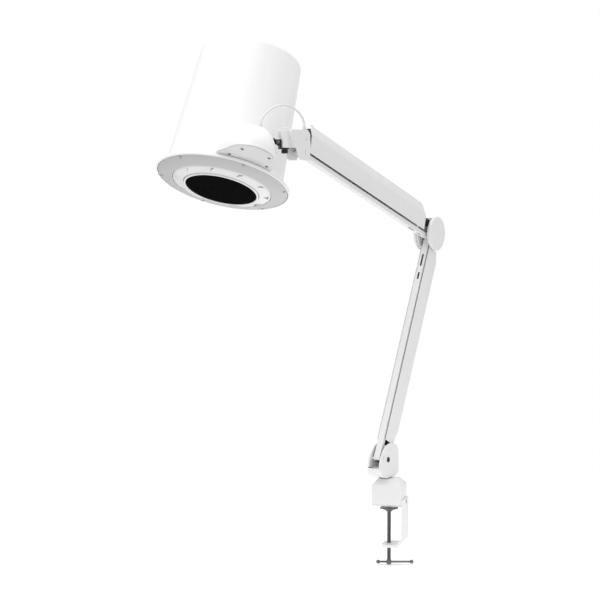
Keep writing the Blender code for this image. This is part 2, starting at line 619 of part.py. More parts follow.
# ================================================================ arm tip
def build_tip(elbow, black, white):
    """The level tip bracket with its pins, and the head's swivel pin and nut."""
    rise = math.radians(UPPER_RISE)
    x = UPPER_FROM_LOWER[0] + UPPER_LENGTH * math.cos(rise)
    z = UPPER_FROM_LOWER[1] + UPPER_LENGTH * math.sin(rise)
    tip = frame("tip", elbow, (x, 0, z))
    bar_x, bar_z = UPPER_LINK
    bottom = bar_z - 0.0125
    outline = [(-0.0090, TIP_TOP - 0.0060), (-0.0100, -0.0150), (-0.0085, -0.0280), (-0.0040, bottom)]
    outline += [(0.0180, bottom), (0.0225, bottom + 0.0025), (0.0245, bottom + 0.0070)]
    outline += [(0.0285, -0.0200), (0.0330, -0.0130), (0.0420, -0.0030), (0.0470, 0.0035)]
    outline += [(0.0480, TIP_TOP - 0.0030), (0.0465, TIP_TOP), (-0.0020, TIP_TOP)]
    bracket = place_mesh("tip_bracket", prism_shape(outline, -CHEEK_OUT, CHEEK_OUT), tip, white, 30)
    inner = CHEEK_OUT - CHEEK_THICK
    under = TIP_TOP - TIP_WEB
    room = [(-0.05, -0.06), (0.08, -0.06), (0.08, -0.0160), (0.0300, -0.0150), (0.0240, -0.0100),
            (0.0220, under), (-0.05, under)]
    cut(bracket, prism_shape(room, -inner, inner), "tip_room", tip)
    nose = [(0.0290, -0.0130), (TIP_PIN_X, TIP_BOSS_BOTTOM + 0.0030), (TIP_PIN_X, TIP_TOP - 0.0010),
            (0.0290, TIP_TOP - 0.0010)]
    join(bracket, prism_shape(nose, -TIP_BOSS_RADIUS + 0.0004, TIP_BOSS_RADIUS - 0.0004), "nose", tip)
    at_pin = Matrix.Translation((TIP_PIN_X, 0, 0))
    boss = [(0, TIP_BOSS_BOTTOM), (TIP_BOSS_RADIUS, TIP_BOSS_BOTTOM), (TIP_BOSS_RADIUS, TIP_TOP - 0.0015),
            (TIP_BOSS_RADIUS - 0.0015, TIP_TOP), (0, TIP_TOP)]
    join(bracket, moved(turned_shape(boss, 28), at_pin), "boss", tip)
    cut(bracket, moved(rod_shape(HEAD_PIN_RADIUS + GAP, -0.05, 0.05, 20), at_pin), "head_pin", tip)
    bore(bracket, "tip_beam", tip, 0, 0)
    bore(bracket, "tip_bar", tip, bar_x, bar_z)
    pin("tip_beam_pin", tip, white, 0, 0)
    pin("tip_bar_pin", tip, white, bar_x, bar_z)

    plate_top = TIP_BOSS_BOTTOM - GAP
    plate_low = plate_top - YOKE_PLATE
    swivel_pin = turned_shape([(0, plate_low - NUT_HEIGHT - 0.0020), (HEAD_PIN_RADIUS - 0.0006,
                               plate_low - NUT_HEIGHT - 0.0020), (HEAD_PIN_RADIUS,
                               plate_low - NUT_HEIGHT - 0.0014), (HEAD_PIN_RADIUS, TIP_TOP + GAP),
                               (0.0052, TIP_TOP + GAP), (0.0052, TIP_TOP + 0.0018),
                               (0.0038, TIP_TOP + 0.0028), (0, TIP_TOP + 0.0028)], 20)
    place_mesh("head_swivel_pin", moved(swivel_pin, at_pin), tip, white)
    nut_hole = HEAD_PIN_RADIUS + GAP
    nut = turned_shape([(nut_hole, plate_low - GAP - NUT_HEIGHT), (NUT_RADIUS, plate_low - GAP - NUT_HEIGHT),
                        (NUT_RADIUS, plate_low - GAP), (nut_hole, plate_low - GAP)], 6)
    place_mesh("head_swivel_nut", moved(nut, at_pin), tip, black, 20)
    cut(bpy.data.objects["head_swivel_nut"], moved(rod_shape(nut_hole, -0.05, 0.0, 20), at_pin),
        "nut_thread", tip)
    return tip


def build_yoke(tip, black, steel):
    """The dark yoke on the swivel pin, the tilt bolt and the tongue with its spigot."""
    swivel = frame("head_swivel", tip, (TIP_PIN_X, 0, 0), (0, 0, HEAD_SWIVEL))
    plate_top = TIP_BOSS_BOTTOM - GAP
    plate_low = plate_top - YOKE_PLATE
    upright = HINGE_WEB + YOKE_PLATE
    ear_out = EAR_IN + YOKE_PLATE
    yoke = place_mesh("yoke", rod_shape(0.0066, plate_low, plate_top, 24), swivel, black, 30)
    low_tab = prism_shape([(0, plate_low), (upright, plate_low), (upright, plate_top), (0, plate_top)],
                          -ear_out, ear_out)
    join(yoke, low_tab, "yoke_tab", swivel)
    wall = prism_shape([(HINGE_WEB, plate_low), (upright, plate_low), (upright, HINGE_Z + EAR_RADIUS),
                        (HINGE_WEB, HINGE_Z + EAR_RADIUS)], -ear_out, ear_out)
    join(yoke, wall, "yoke_wall", swivel)
    ear = [(HINGE_WEB + 0.0002, HINGE_Z - EAR_RADIUS - 0.004), (HINGE_WEB + 0.0002, HINGE_Z + EAR_RADIUS)]
    ear += arc((HINGE_REACH, HINGE_Z), EAR_RADIUS, 90, -90, 9)
    for index, side in enumerate((-1, 1)):
        low = min(side * EAR_IN, side * ear_out)
        join(yoke, prism_shape(ear, low, low + YOKE_PLATE), "yoke_ear_%d" % index, swivel)
    cut(yoke, rod_shape(HEAD_PIN_RADIUS + GAP, -0.05, 0.05, 20), "yoke_pin", swivel)
    bolt_radius = 0.0016
    bore(yoke, "yoke_bolt", swivel, HINGE_REACH, HINGE_Z, bolt_radius + GAP)
    half = ear_out + GAP
    bolt = turned_shape([(0, -half - 0.0020), (0.0029, -half - 0.0020), (0.0029, -half),
                         (bolt_radius, -half), (bolt_radius, half), (0.0029, half),
                         (0.0029, half + 0.0018), (0, half + 0.0022)], 14)
    place_mesh("tilt_bolt", along_y(bolt, HINGE_REACH, HINGE_Z), swivel, steel)

    tilt = frame("head_tilt", swivel, (HINGE_REACH, 0, HINGE_Z), (0, -HEAD_TILT, 0))
    lug_half = EAR_IN - GAP
    neck = EAR_RADIUS + 2 * GAP
    lug = arc((0, 0), EAR_RADIUS - 0.0013, 90, 270, 9) + [(neck + 0.001, -0.0027), (neck + 0.001, 0.0027)]
    tongue = place_mesh("tilt_tongue", prism_shape(lug, -lug_half, lug_half), tilt, black, 30)
    step = STUB_LENGTH - 0.0180
    end = STUB_LENGTH - 0.0115
    spigot = turned_shape([(0, neck), (SPIGOT_RADIUS, neck), (SPIGOT_RADIUS, step),
                           (SPIGOT_RADIUS - 0.0008, step + 0.0005), (SPIGOT_RADIUS - 0.0008, end),
                           (0, end)], 20)
    join(tongue, moved(spigot, Matrix.Rotation(math.radians(90), 4, "Y")), "spigot", tilt)
    bore(tongue, "tongue_bolt", tilt, 0, 0, bolt_radius + GAP)
    return frame("head_turn", tilt, (STUB_LENGTH, 0, 0), (HEAD_TURN, 0, 0))


# ================================================================ head
def shell_profile(wall, extra=0.0):
    """Outer profile of the shell, from the top centre down to the rim's lower edge."""
    radius = SHELL_TOP_RADIUS - wall + extra
    top = SHELL_TOP - wall + extra
    fillet = SHELL_FILLET - wall
    points = [(radius - fillet + fillet * math.sin(math.radians(angle)),
               top - fillet + fillet * math.cos(math.radians(angle))) for angle in (0, 30, 60, 90)]
    base = SHELL_BASE_RADIUS - wall + extra
    points += [(base, SHELL_BASE_Z)]
    flare = RIM_RADIUS - SHELL_BASE_RADIUS
    for share, drop in ((0.10, 0.0065), (0.28, 0.0115), (0.55, 0.0150), (0.85, 0.0175)):
        points.append((base + flare * share, SHELL_BASE_Z - drop + wall * -0.6))
    return points


def build_head_shell(head, white):
    """The tapered bucket with its flared rim, open below, with vents in its top."""
    outer = shell_profile(0.0)
    rim = [(RIM_RADIUS - 0.0005, RIM_Z + 0.0048), (RIM_RADIUS, RIM_Z + 0.0030), (RIM_RADIUS - 0.0004, RIM_Z),
           (RIM_RADIUS - SHELL_WALL, RIM_Z), (RIM_RADIUS - SHELL_WALL - 0.0005, RIM_Z + 0.0030)]
    inner = shell_profile(SHELL_WALL)[::-1]
    profile = [(0, SHELL_TOP)] + outer + rim + inner + [(0, SHELL_TOP - SHELL_WALL)]
    shell = place_mesh("head_shell", turned_shape(profile, 36), head, white, 40)
    vents = bmesh.new()
    for index in range(VENT_COUNT):
        vent = prism_shape([(0.030, 0.2), (0.066, 0.2), (0.066, 0.3), (0.030, 0.3)], -0.0022, 0.0022)
        moved(vent, Matrix.Rotation(2 * math.pi * index / VENT_COUNT, 4, "Z"))
        piece = bpy.data.meshes.new("vent_%d" % index)
        vent.to_mesh(piece)
        vent.free()
        vents.from_mesh(piece)
    cut(shell, vents, "top_vents", head)


def screw_shape(depth):
    """A small pan-head screw whose head looks down, with the head's seat at height 0."""
    return turned_shape([(0, -SCREW_HEAD), (SCREW_HEAD_RADIUS - 0.0006, -SCREW_HEAD),
                         (SCREW_HEAD_RADIUS, -0.0004), (SCREW_HEAD_RADIUS, 0.0),
                         (SCREW_SHANK_RADIUS, 0.0), (SCREW_SHANK_RADIUS, depth), (0, depth)], 10)


def build_rings(head, grey, black, steel, light, board_white):
    """The conical bottom ring, ring light, board, grille and its lip."""
    edge = RIM_RADIUS - SHELL_WALL - 0.0010
    slope = RIM_Z / (edge - RING_INNER)
    lip_top = 0.0075
    ring = [(RING_INNER, 0.0), (edge, RIM_Z), (edge, RIM_Z + RING_THICK),
            (RING_INNER + 0.002, RING_THICK + 0.0006), (RING_INNER + 0.002, lip_top), (RING_INNER, lip_top)]
    ring = place_mesh("bottom_ring", turned_shape(ring, 36), head, grey, 30)
    tilt = math.atan(slope)
    for index in range(6):
        angle = math.radians(90 + 60 * index)
        height = (RING_SCREW_CIRCLE - RING_INNER) * slope
        spot = Matrix.Rotation(angle, 4, "Z") @ Matrix.Translation((RING_SCREW_CIRCLE, 0, height))
        spot = spot @ Matrix.Rotation(-tilt, 4, "Y")
        hole = moved(rod_shape(SCREW_SHANK_RADIUS + GAP, -0.01, 0.02, 10), spot)
        cut(ring, hole, "ring_hole_%d" % index, head)
        screw = moved(screw_shape(0.0045), spot @ Matrix.Translation((0, 0, -GAP)))
        place_mesh("ring_screw_%d" % (index + 1), screw, head, steel)

    inner_z = GRILLE_Z + 0.0010
    profile = [(LIGHT_OUTER, 0.0004), (LIGHT_OUTER - 0.004, -0.0010)]
    profile += [(LIGHT_INNER, inner_z), (LIGHT_INNER, inner_z + LIGHT_THICK),
                (LIGHT_OUTER - 0.004, LIGHT_THICK - 0.0010), (LIGHT_OUTER, LIGHT_THICK + 0.0010)]
    place_mesh("light_cover", turned_shape(profile, 36), head, light, 30)
    board_z = 0.0040
    board_top = board_z + 0.0016
    board = turned_shape([(LIGHT_INNER + 0.001, board_z), (LIGHT_OUTER - 0.001, board_z),
                          (LIGHT_OUTER - 0.001, board_top), (LIGHT_INNER + 0.001, board_top)], 36)
    place_mesh("light_board", board, head, board_white)

    lip_in = GRILLE_RADIUS + GAP
    low = GRILLE_Z - 0.0012
    lip = turned_shape([(lip_in, low), (LIP_RADIUS - 0.0012, low), (LIP_RADIUS - 0.0003, low + 0.0010),
                        (LIP_RADIUS - 0.0003, low + LIP_DEPTH), (lip_in, low + LIP_DEPTH)], 36)
    place_mesh("grille_lip", lip, head, light, 30)
    disc = rod_shape(GRILLE_RADIUS, GRILLE_Z, GRILLE_Z + GRILLE_THICK, 36)
    grille = place_mesh("grille", disc, head, black)
    holes = bmesh.new()
    rows = int(GRILLE_RADIUS / (HOLE_PITCH * 0.866))
    for row in range(-rows, rows + 1):
        y = row * HOLE_PITCH * math.sqrt(3) / 2
        for column in range(-rows - 1, rows + 2):
            x = (column + 0.5 * (row % 2)) * HOLE_PITCH
            if math.hypot(x, y) > GRILLE_RADIUS - HOLE_RADIUS - 0.002:
                continue
            add_hexagon(holes, x, y)
    cut(grille, holes, "grille_holes", head)


def add_hexagon(shape, x, y):
    """Add one hexagonal cutter that goes right through the grille."""
    rings = []
    for z in (GRILLE_Z - 0.01, GRILLE_Z + 0.01):
        ring = []
        for corner in range(6):
            angle = math.radians(30 + 60 * corner)
            ring.append((x + HOLE_RADIUS * math.cos(angle), y + HOLE_RADIUS * math.sin(angle), z))
        rings.append(ring)
    lower = [shape.verts.new(point) for point in rings[0]]
    upper = [shape.verts.new(point) for point in rings[1]]
    for index in range(6):
        after = (index + 1) % 6
        shape.faces.new((lower[index], lower[after], upper[after], upper[index]))
    shape.faces.new(lower[::-1])
    shape.faces.new(upper)


def build_fan(head, black, paper):
    """The fan in its duct, and the filter above it."""
    inner = FAN_DUCT - FAN_DUCT_WALL
    top = FAN_BASE + FAN_HEIGHT
    duct = turned_shape([(inner, FAN_BASE), (FAN_DUCT, FAN_BASE), (FAN_DUCT, top), (inner, top)], 32)
    fan_frame = place_mesh("fan_frame", duct, head, black)
    motor_top = top - 0.002
    motor = rod_shape(FAN_HUB * 0.8, motor_top - 0.010, motor_top, 24)
    join(fan_frame, motor, "fan_motor", head)
    for index in range(4):
        reach = inner + 0.001
        strut = prism_shape([(0.004, motor_top - 0.005), (reach, motor_top - 0.005),
                             (reach, motor_top - 0.001), (0.004, motor_top - 0.001)], -0.0015, 0.0015)
        turn = Matrix.Rotation(math.radians(90 * index + 20), 4, "Z")
        join(fan_frame, moved(strut, turn), "fan_strut_%d" % index, head)
    hub_low = FAN_BASE + 0.004
    hub_top = motor_top - 0.010 - 0.0010
    spin = frame("fan_axis", head, (0, 0, hub_low))
    hub = rod_shape(FAN_HUB, 0, hub_top - hub_low, 28)
    rotor = place_mesh("fan_rotor", hub, spin, black)
    for index in range(FAN_BLADES):
        blade = prism_shape([(FAN_HUB - 0.003, 0.002), (inner - 0.0015, 0.004), (inner - 0.0015, 0.019),
                             (FAN_HUB - 0.003, 0.021)], -0.0008, 0.0008)
        lean = Matrix.Translation((0, 0, 0.0115)) @ Matrix.Rotation(math.radians(35), 4, "X")
        lean = lean @ Matrix.Translation((0, 0, -0.0115))
        turn = Matrix.Rotation(2 * math.pi * index / FAN_BLADES, 4, "Z")
        join(rotor, moved(blade, turn @ lean), "fan_blade_%d" % index, spin)
    filter_shape = turned_shape([(FILTER_INNER, FILTER_BASE), (FILTER_OUTER, FILTER_BASE),
                                 (FILTER_OUTER, FILTER_TOP), (FILTER_INNER, FILTER_TOP)], 36)
    place_mesh("filter", filter_shape, head, paper, 20)


def housing_outline(scale, height, shrink=0.0):
    """One level outline of the joint housing: round outer end, skirt toward the bucket."""
    points = []
    half = HOUSING_HALF * scale - shrink
    reach = HOUSING_REACH * scale - shrink
    for step in range(15):
        angle = math.radians(180 * step / 14)
        points.append((half * math.cos(angle), HOUSING_MIDDLE + reach * math.sin(angle), height))
    skirt = HOUSING_SKIRT * scale - shrink
    points += [(-skirt, HOUSING_MIDDLE - HOUSING_STEP, height), (-skirt, HOUSING_ROOT, height)]
    points += [(skirt, HOUSING_ROOT, height), (skirt, HOUSING_MIDDLE - HOUSING_STEP, height)]
    return points


def build_housing(head, white, grey, steel):
    """The joint housing beside the bucket, with its flat cover and four screws."""
    rise = HOUSING_TOP - HOUSING_BASE
    levels = [(1.0, 0.0), (1.0, 0.20), (0.985, 0.35), (0.95, 0.50), (0.88, 0.66), (0.78, 0.80),
              (0.62, 0.91), (0.38, 0.98), (0.16, 1.0)]
    rings = [housing_outline(scale, HOUSING_BASE + rise * share) for scale, share in levels]
    housing = place_mesh("joint_housing", loft_shape(rings), head, white, 50)
    below = HOUSING_BASE - 0.01
    depth = rise + 0.01 - HOUSING_WALL
    inner_levels = ((1.0, 0.0), (1.0, 0.25), (0.97, 0.45), (0.88, 0.68), (0.74, 0.84), (0.52, 0.95))
    room = [housing_outline(scale, below + depth * share, HOUSING_WALL) for scale, share in inner_levels]
    cut(housing, loft_shape(room), "housing_room", head)
    clear = bucket_clearance()
    cut(housing, clear, "housing_bucket", head)
    spigot = moved(rod_shape(SPIGOT_RADIUS + GAP, -0.06, 0.0, 20), Matrix.Rotation(math.radians(90), 4, "Y"))
    at_stub = Matrix.Translation((0, HOUSING_MIDDLE, STUB_DROP))
    cut(housing, moved(spigot, at_stub), "housing_spigot", head)

    top = HOUSING_BASE - GAP
    rings = [housing_outline(1.0, height, 0.0006) for height in (top - 0.0022, top)]
    cover = place_mesh("joint_cover", loft_shape(rings), head, grey, 30)
    cut(cover, bucket_clearance(), "cover_bucket", head)
    for index, (x, y) in enumerate(COVER_SCREWS):
        spot = Matrix.Translation((x, HOUSING_MIDDLE + y, top - 0.0022 - GAP))
        hole = moved(rod_shape(SCREW_SHANK_RADIUS + GAP, -0.01, 0.02, 10), spot)
        cut(cover, hole, "cover_hole_%d" % index, head)
        place_mesh("cover_screw_%d" % (index + 1), moved(screw_shape(0.0035), spot), head, steel)


def bucket_clearance():
    """The shell's outside, grown by the gap, as a cutter for what stands against it."""
    grown = shell_profile(0.0, GAP)
    grown += [(RIM_RADIUS + GAP, RIM_Z + 0.0050 + GAP), (RIM_RADIUS + GAP, -0.02)]
    return turned_shape([(0, SHELL_TOP + 0.01)] + grown + [(0, -0.02)], 36)


# ================================================================ cable
def build_cable(tip, head, rubber, white):
    """The loop of cable between the arm tip and the joint housing, with its glands."""
    bpy.context.view_layer.update()
    start_local = Vector((0.002, 0.0080, TIP_TOP + GAP))
    end_local = Vector((-0.004, HOUSING_MIDDLE + 0.0050, HOUSING_TOP + GAP))
    gland = turned_shape([(CABLE_RADIUS + GAP, 0), (GLAND_RADIUS, 0), (GLAND_RADIUS * 0.75, GLAND_HEIGHT),
                          (CABLE_RADIUS + GAP, GLAND_HEIGHT)], 16)
    place_mesh("tip_gland", moved(gland, Matrix.Translation(start_local)), tip, rubber)
    gland = turned_shape([(CABLE_RADIUS + GAP, 0), (GLAND_RADIUS, 0), (GLAND_RADIUS * 0.75, GLAND_HEIGHT),
                          (CABLE_RADIUS + GAP, GLAND_HEIGHT)], 16)
    place_mesh("head_gland", moved(gland, Matrix.Translation(end_local)), head, rubber)
    first = tip.matrix_world @ (start_local + Vector((0, 0, GLAND_HEIGHT + GAP)))
    last = head.matrix_world @ (end_local + Vector((0, 0, GLAND_HEIGHT + GAP)))
    route = [first.lerp(last, share) + Vector((0, 0, height)) for share, height in ROUTE]
    smooth_tube("cable", route, CABLE_RADIUS, white)


def smooth_tube(name, route, radius, material):
    """A round tube on a smooth curve through the route's points."""
    points = []
    padded = [2 * route[0] - route[1]] + route + [2 * route[-1] - route[-2]]
    for index in range(1, len(padded) - 2):
        before, start, stop, after = padded[index - 1:index + 3]
        for step in range(2):
            t = step / 2
            points.append(0.5 * ((2 * start) + (stop - before) * t
                                 + (2 * before - 5 * start + 4 * stop - after) * t * t
                                 + (3 * start - before - 3 * stop + after) * t ** 3))
    points.append(route[-1])
    curve = bpy.data.curves.new(name, "CURVE")
    curve.dimensions = "3D"
    curve.bevel_depth = radius
    curve.bevel_resolution = 2
    curve.use_fill_caps = True
    spline = curve.splines.new("POLY")
    spline.points.add(len(points) - 1)
    for item, point in zip(spline.points, points):
        item.co = (*point, 1.0)
    curve.materials.append(material)
    made = bpy.data.objects.new(name, curve)
    bpy.context.collection.objects.link(made)
    return made


def main():
    """Build the whole lamp."""
    clear_scene()
    white = finish("white_paint", (0.86, 0.86, 0.86), 0.35)
    shell_white = finish("white_plastic", (0.90, 0.90, 0.90), 0.30)
    grey = finish("grey_plastic", (0.62, 0.63, 0.64), 0.45)
    steel = finish("steel", (0.45, 0.44, 0.42), 0.32, 1.0)
    alloy = finish("alloy", (0.06, 0.06, 0.06), 0.38, 1.0)
    black = finish("black_steel", (0.03, 0.03, 0.03), 0.45, 0.4)
    mesh_black = finish("black_plastic", (0.012, 0.012, 0.012), 0.5)
    rubber = finish("rubber", (0.55, 0.55, 0.55), 0.7)
    bush = finish("bush_plastic", (0.25, 0.25, 0.26), 0.5)
    light = finish("light_cover", (0.80, 0.80, 0.80), 0.25)
    board = finish("board", (0.85, 0.86, 0.84), 0.5)
    paper = finish("filter_paper", (0.88, 0.87, 0.84), 0.9)

    build_clamp(steel, white, rubber, bush)
    swivel = frame("base_swivel", None, (0, SWIVEL_Y, 0), (0, 0, SWIVEL_TURN))
    build_knuckle(swivel, steel, black, white)
    build_lower_arm(swivel, steel, white, alloy)
    elbow = build_elbow(swivel, steel, white)
    build_upper_arm(elbow, steel, white, alloy)
    tip = build_tip(elbow, black, white)
    turn = build_yoke(tip, black, steel)
    head = frame("head", turn, (0, -HOUSING_MIDDLE, -STUB_DROP))
    build_head_shell(head, shell_white)
    build_rings(head, grey, mesh_black, steel, light, board)
    build_fan(head, mesh_black, paper)
    build_housing(head, shell_white, grey, steel)
    build_cable(tip, head, rubber, white)


main()
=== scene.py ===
"""Looks for the swing arm desk lamp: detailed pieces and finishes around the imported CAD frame.

Everything is in metres in the frame of the CAD model. Each piece is made in the local frame
of the joint that carries it, and rides on that body.
"""

import json
import math

import bmesh
import bpy
from mathutils import Matrix, Vector


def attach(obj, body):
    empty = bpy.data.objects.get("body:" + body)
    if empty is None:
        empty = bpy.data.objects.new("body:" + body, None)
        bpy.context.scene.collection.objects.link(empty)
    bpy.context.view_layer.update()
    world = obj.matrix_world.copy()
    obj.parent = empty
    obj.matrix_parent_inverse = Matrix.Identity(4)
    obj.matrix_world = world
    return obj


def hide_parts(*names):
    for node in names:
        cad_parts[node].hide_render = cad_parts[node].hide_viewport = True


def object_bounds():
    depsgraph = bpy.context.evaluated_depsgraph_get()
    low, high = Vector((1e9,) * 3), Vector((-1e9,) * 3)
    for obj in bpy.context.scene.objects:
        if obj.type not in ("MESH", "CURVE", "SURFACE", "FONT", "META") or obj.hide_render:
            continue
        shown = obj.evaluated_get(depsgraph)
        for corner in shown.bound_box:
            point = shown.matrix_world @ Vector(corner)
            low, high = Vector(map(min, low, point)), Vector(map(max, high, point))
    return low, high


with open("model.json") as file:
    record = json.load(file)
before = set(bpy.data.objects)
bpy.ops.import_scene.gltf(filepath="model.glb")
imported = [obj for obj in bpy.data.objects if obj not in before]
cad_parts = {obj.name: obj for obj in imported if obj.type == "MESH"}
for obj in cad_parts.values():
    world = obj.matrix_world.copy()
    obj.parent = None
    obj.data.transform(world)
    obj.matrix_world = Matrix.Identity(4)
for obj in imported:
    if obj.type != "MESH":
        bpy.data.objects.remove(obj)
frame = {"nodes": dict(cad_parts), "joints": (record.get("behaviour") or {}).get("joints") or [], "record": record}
cad_box = [list(corner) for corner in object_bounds()]
NODES = frame["nodes"]
JOINTS = {joint["name"]: joint for joint in frame["joints"]}
UP = Vector((0, 0, 1))


# ======== frames
def pivot(name):
    """A joint's place."""
    return Vector(JOINTS[name]["pos_m"])


def axis(name):
    """A joint's direction."""
    return Vector(JOINTS[name]["axis"]).normalized()


def axes(origin, x, z):
    """A local frame from its origin and two of its directions."""
    made = Matrix((x, z.cross(x), z)).transposed().to_4x4()
    made.translation = origin
    return made


def shift(x=0.0, y=0.0, z=0.0):
    """A move."""
    return Matrix.Translation((x, y, z))


def spin(degrees, about):
    """A turn about a main direction."""
    return Matrix.Rotation(math.radians(degrees), 4, about)


FAN_BASE = 0.0120       # fan axis origin above the head's origin
ACROSS = axis("lower_tilt")
AHEAD = ACROSS.cross(UP)
WORLD = Matrix.Identity(4)
SWIVEL_Y = pivot("base_swivel").y
SWIVEL = axes(Vector((0, SWIVEL_Y, 0)), AHEAD, UP)
LOWER_RUN = pivot("elbow_level") - pivot("lower_tilt")
UPPER_RUN = pivot("tip_level") - pivot("upper_tilt")
LOWER_ALONG = LOWER_RUN.normalized()
UPPER_ALONG = UPPER_RUN.normalized()
LOWER = axes(pivot("lower_tilt"), LOWER_ALONG, LOWER_ALONG.cross(ACROSS))
LOWER_BAR = axes(pivot("lower_link_pivot"), LOWER_ALONG, LOWER_ALONG.cross(ACROSS))
ELBOW = axes(pivot("elbow_level"), AHEAD, UP)
UPPER = axes(pivot("upper_tilt"), UPPER_ALONG, UPPER_ALONG.cross(ACROSS))
UPPER_BAR = axes(pivot("upper_link_pivot"), UPPER_ALONG, UPPER_ALONG.cross(ACROSS))
TIP = axes(pivot("tip_level"), AHEAD, UP)
HEAD_AXIS = axis("fan_spin")
HEAD = axes(pivot("fan_spin") - HEAD_AXIS * FAN_BASE, axis("head_turn"), HEAD_AXIS)
FLAT_Y = spin(-90, "X")    # lays a Z-turned shape along Y

# ======== sizes
GAP = 0.0003
BLOCK_LENGTH = 0.055
BLOCK_WIDTH = 0.045
BLOCK_TOP = 0.0470
BLOCK_SHOULDER = 0.0375
BLOCK_HIP = 0.0100
PAD_THICK = 0.0018
STRAP_WIDTH = 0.0450
STRAP_TOP = 0.0118
STRAP_SCREW_Z = 0.0066
STRAP_THICK = 0.0046
STRAP_RECESS = 0.0014
JAW_OPENING = 0.068
SCREW_RADIUS = 0.0036
SPINDLE_TAIL = 0.0250
SPINDLE_HEAD_RADIUS = SCREW_RADIUS + 0.0007
SPINDLE_HEAD = 0.0088
THREAD_PITCH = 0.0015
THREAD_DEPTH = 0.0007
PRESS_RADIUS = 0.0165
PRESS_THICK = 0.0016
PRESS_HEIGHT = 0.0066
PRESS_HUB = 0.0065
PAD_REST_GAP = 0.0055
TOMMY_RADIUS = 0.0021
TOMMY_LENGTH = 0.066
TOMMY_BALL = 0.0036
TOMMY_SHIFT = 0.0105
TOMMY_TURN = 14.5
SWIVEL_RADIUS = 0.0060
SWIVEL_DEPTH = 0.030
BUSH_WALL = 0.0020
BUSH_FLANGE = 0.0010
COVER_HALF = 0.0090
CHEEK_THICK = 0.0029
CHEEK_OUT = COVER_HALF + 2 * GAP + CHEEK_THICK
CHEEK_IN = CHEEK_OUT - CHEEK_THICK
KNUCKLE_FLOOR = 0.069
LOWER_PIVOT = (0.011, 0.081)
LOWER_LINK = (0.0163, 0.0039)
UPPER_LINK = (0.0038, -0.0217)
PIN_RADIUS = 0.0022
PIN_RIM = PIN_RADIUS + 0.0012
PIN_HEAD = 0.0009
# Wide rim for the black head of the base beam pin, which stands in for a shaded hole: painted shade.
HOLE_SHADE_RIM = 0.0047
COVER_WALL = 0.0015
LOWER_OPEN = -0.0174
UPPER_OPEN = -0.0161
COVER_SCREW_INSET = 0.0080
COVER_SHOULDER = 0.0126
COVER_RIDGE = 0.0296
RIDGE_HALF = 0.0040
COVER_BEND = 0.0018     # outside corner of the folds
LOWER_LENGTH = LOWER_RUN.length
UPPER_LENGTH = UPPER_RUN.length
LOWER_COVER_ENDS = (0.031, LOWER_LENGTH - 0.026)
UPPER_COVER_ENDS = (0.022, UPPER_LENGTH - 0.020)
BAR_HALF = COVER_HALF - COVER_WALL - 0.0020
BAR_DEPTH = 0.0036
BAR_WALL = 0.0013
SPRING_RADIUS = 0.0036
SPRING_WIRE = 0.0008
SPRING_START = 0.060
SPRING_LENGTH = 0.190
ELBOW_CENTRE = (0.0130, 0.0060)
UPPER_FROM_LOWER = (0.0262, 0.0232)
ELBOW_RADIUS = 0.0285
ELBOW_WEB = 0.0050
ELBOW_WEB_ENDS = (82, 205)
CAP_RADIUS = ELBOW_RADIUS + 0.0027
CAP_THICK = 0.0046
TIP_TOP = 0.0135
STUB_DROP = 0.0512
SPIGOT_RADIUS = 0.0040
SHELL_WALL = 0.0020
SHELL_TOP = 0.2340
SHELL_TOP_RADIUS = 0.0840
SHELL_BASE_RADIUS = 0.0955
SHELL_BASE_Z = 0.0300
SHELL_FILLET = 0.0085
RIM_RADIUS = SHELL_BASE_RADIUS + 0.0145
RIM_Z = 0.0070
RING_INNER = RIM_RADIUS - 0.0285
RING_THICK = 0.0022
LIGHT_OUTER = RING_INNER - 0.0005
GRILLE_RADIUS = 0.0585
GRILLE_Z = -0.0050
GRILLE_THICK = 0.0016
LIP_RADIUS = GRILLE_RADIUS + 0.0037
LIGHT_INNER = LIP_RADIUS + GAP
LIP_DEPTH = 0.0070
MESH_PITCH = 0.0040     # the grille's cells
MESH_BAR = 0.0009
POCKETS = 10            # facets round the ring light
POCKET_DEPTH = 0.0030
FAN_DUCT = 0.0600
FAN_DUCT_WALL = 0.0020
FAN_HEIGHT = 0.0400
FAN_HUB = 0.0190
FAN_BLADES = 7
FILTER_OUTER = SHELL_TOP_RADIUS - SHELL_WALL - 0.0040
FILTER_INNER = FILTER_OUTER - 0.0200
FILTER_BASE = 0.0560
FILTER_TOP = 0.1900
PLEATS = 72
HOUSING_HALF = 0.0380
HOUSING_SKIRT = HOUSING_HALF + 0.0080
HOUSING_MIDDLE = SHELL_BASE_RADIUS + 0.0325
HOUSING_REACH = 0.0420
HOUSING_ROOT = 0.0700
HOUSING_STEP = 0.0240
HOUSING_BASE = 0.0150
HOUSING_TOP = 0.0620
COVER_PLATE = 0.0022
COVER_SCREWS = ((0.0195, 0.0200), (-0.0255, 0.0200), (0.0285, -0.0155), (-0.0345, -0.0155))
RING_SCREW_CIRCLE = RIM_RADIUS - 0.0070
SCREW_HEAD_RADIUS = 0.0024
SCREW_HEAD = 0.0010
SCREW_SHANK_RADIUS = 0.0013
VENT_COUNT = 10
CABLE_RADIUS = 0.00175
GLAND_RADIUS = 0.0036
GLAND_HEIGHT = 0.0060
ROUTE = [
    (0.00, 0.0000), (0.01, 0.0050), (0.03, 0.0100), (0.08, 0.0165), (0.15, 0.0220), (0.24, 0.0265),
    (0.34, 0.0295), (0.44, 0.0310), (0.54, 0.0308), (0.63, 0.0290), (0.72, 0.0260), (0.80, 0.0220),
    (0.87, 0.0175), (0.93, 0.0125), (0.97, 0.0080), (0.99, 0.0040), (1.00, 0.0000),
]                       # share of the span, height above the straight line between the glands


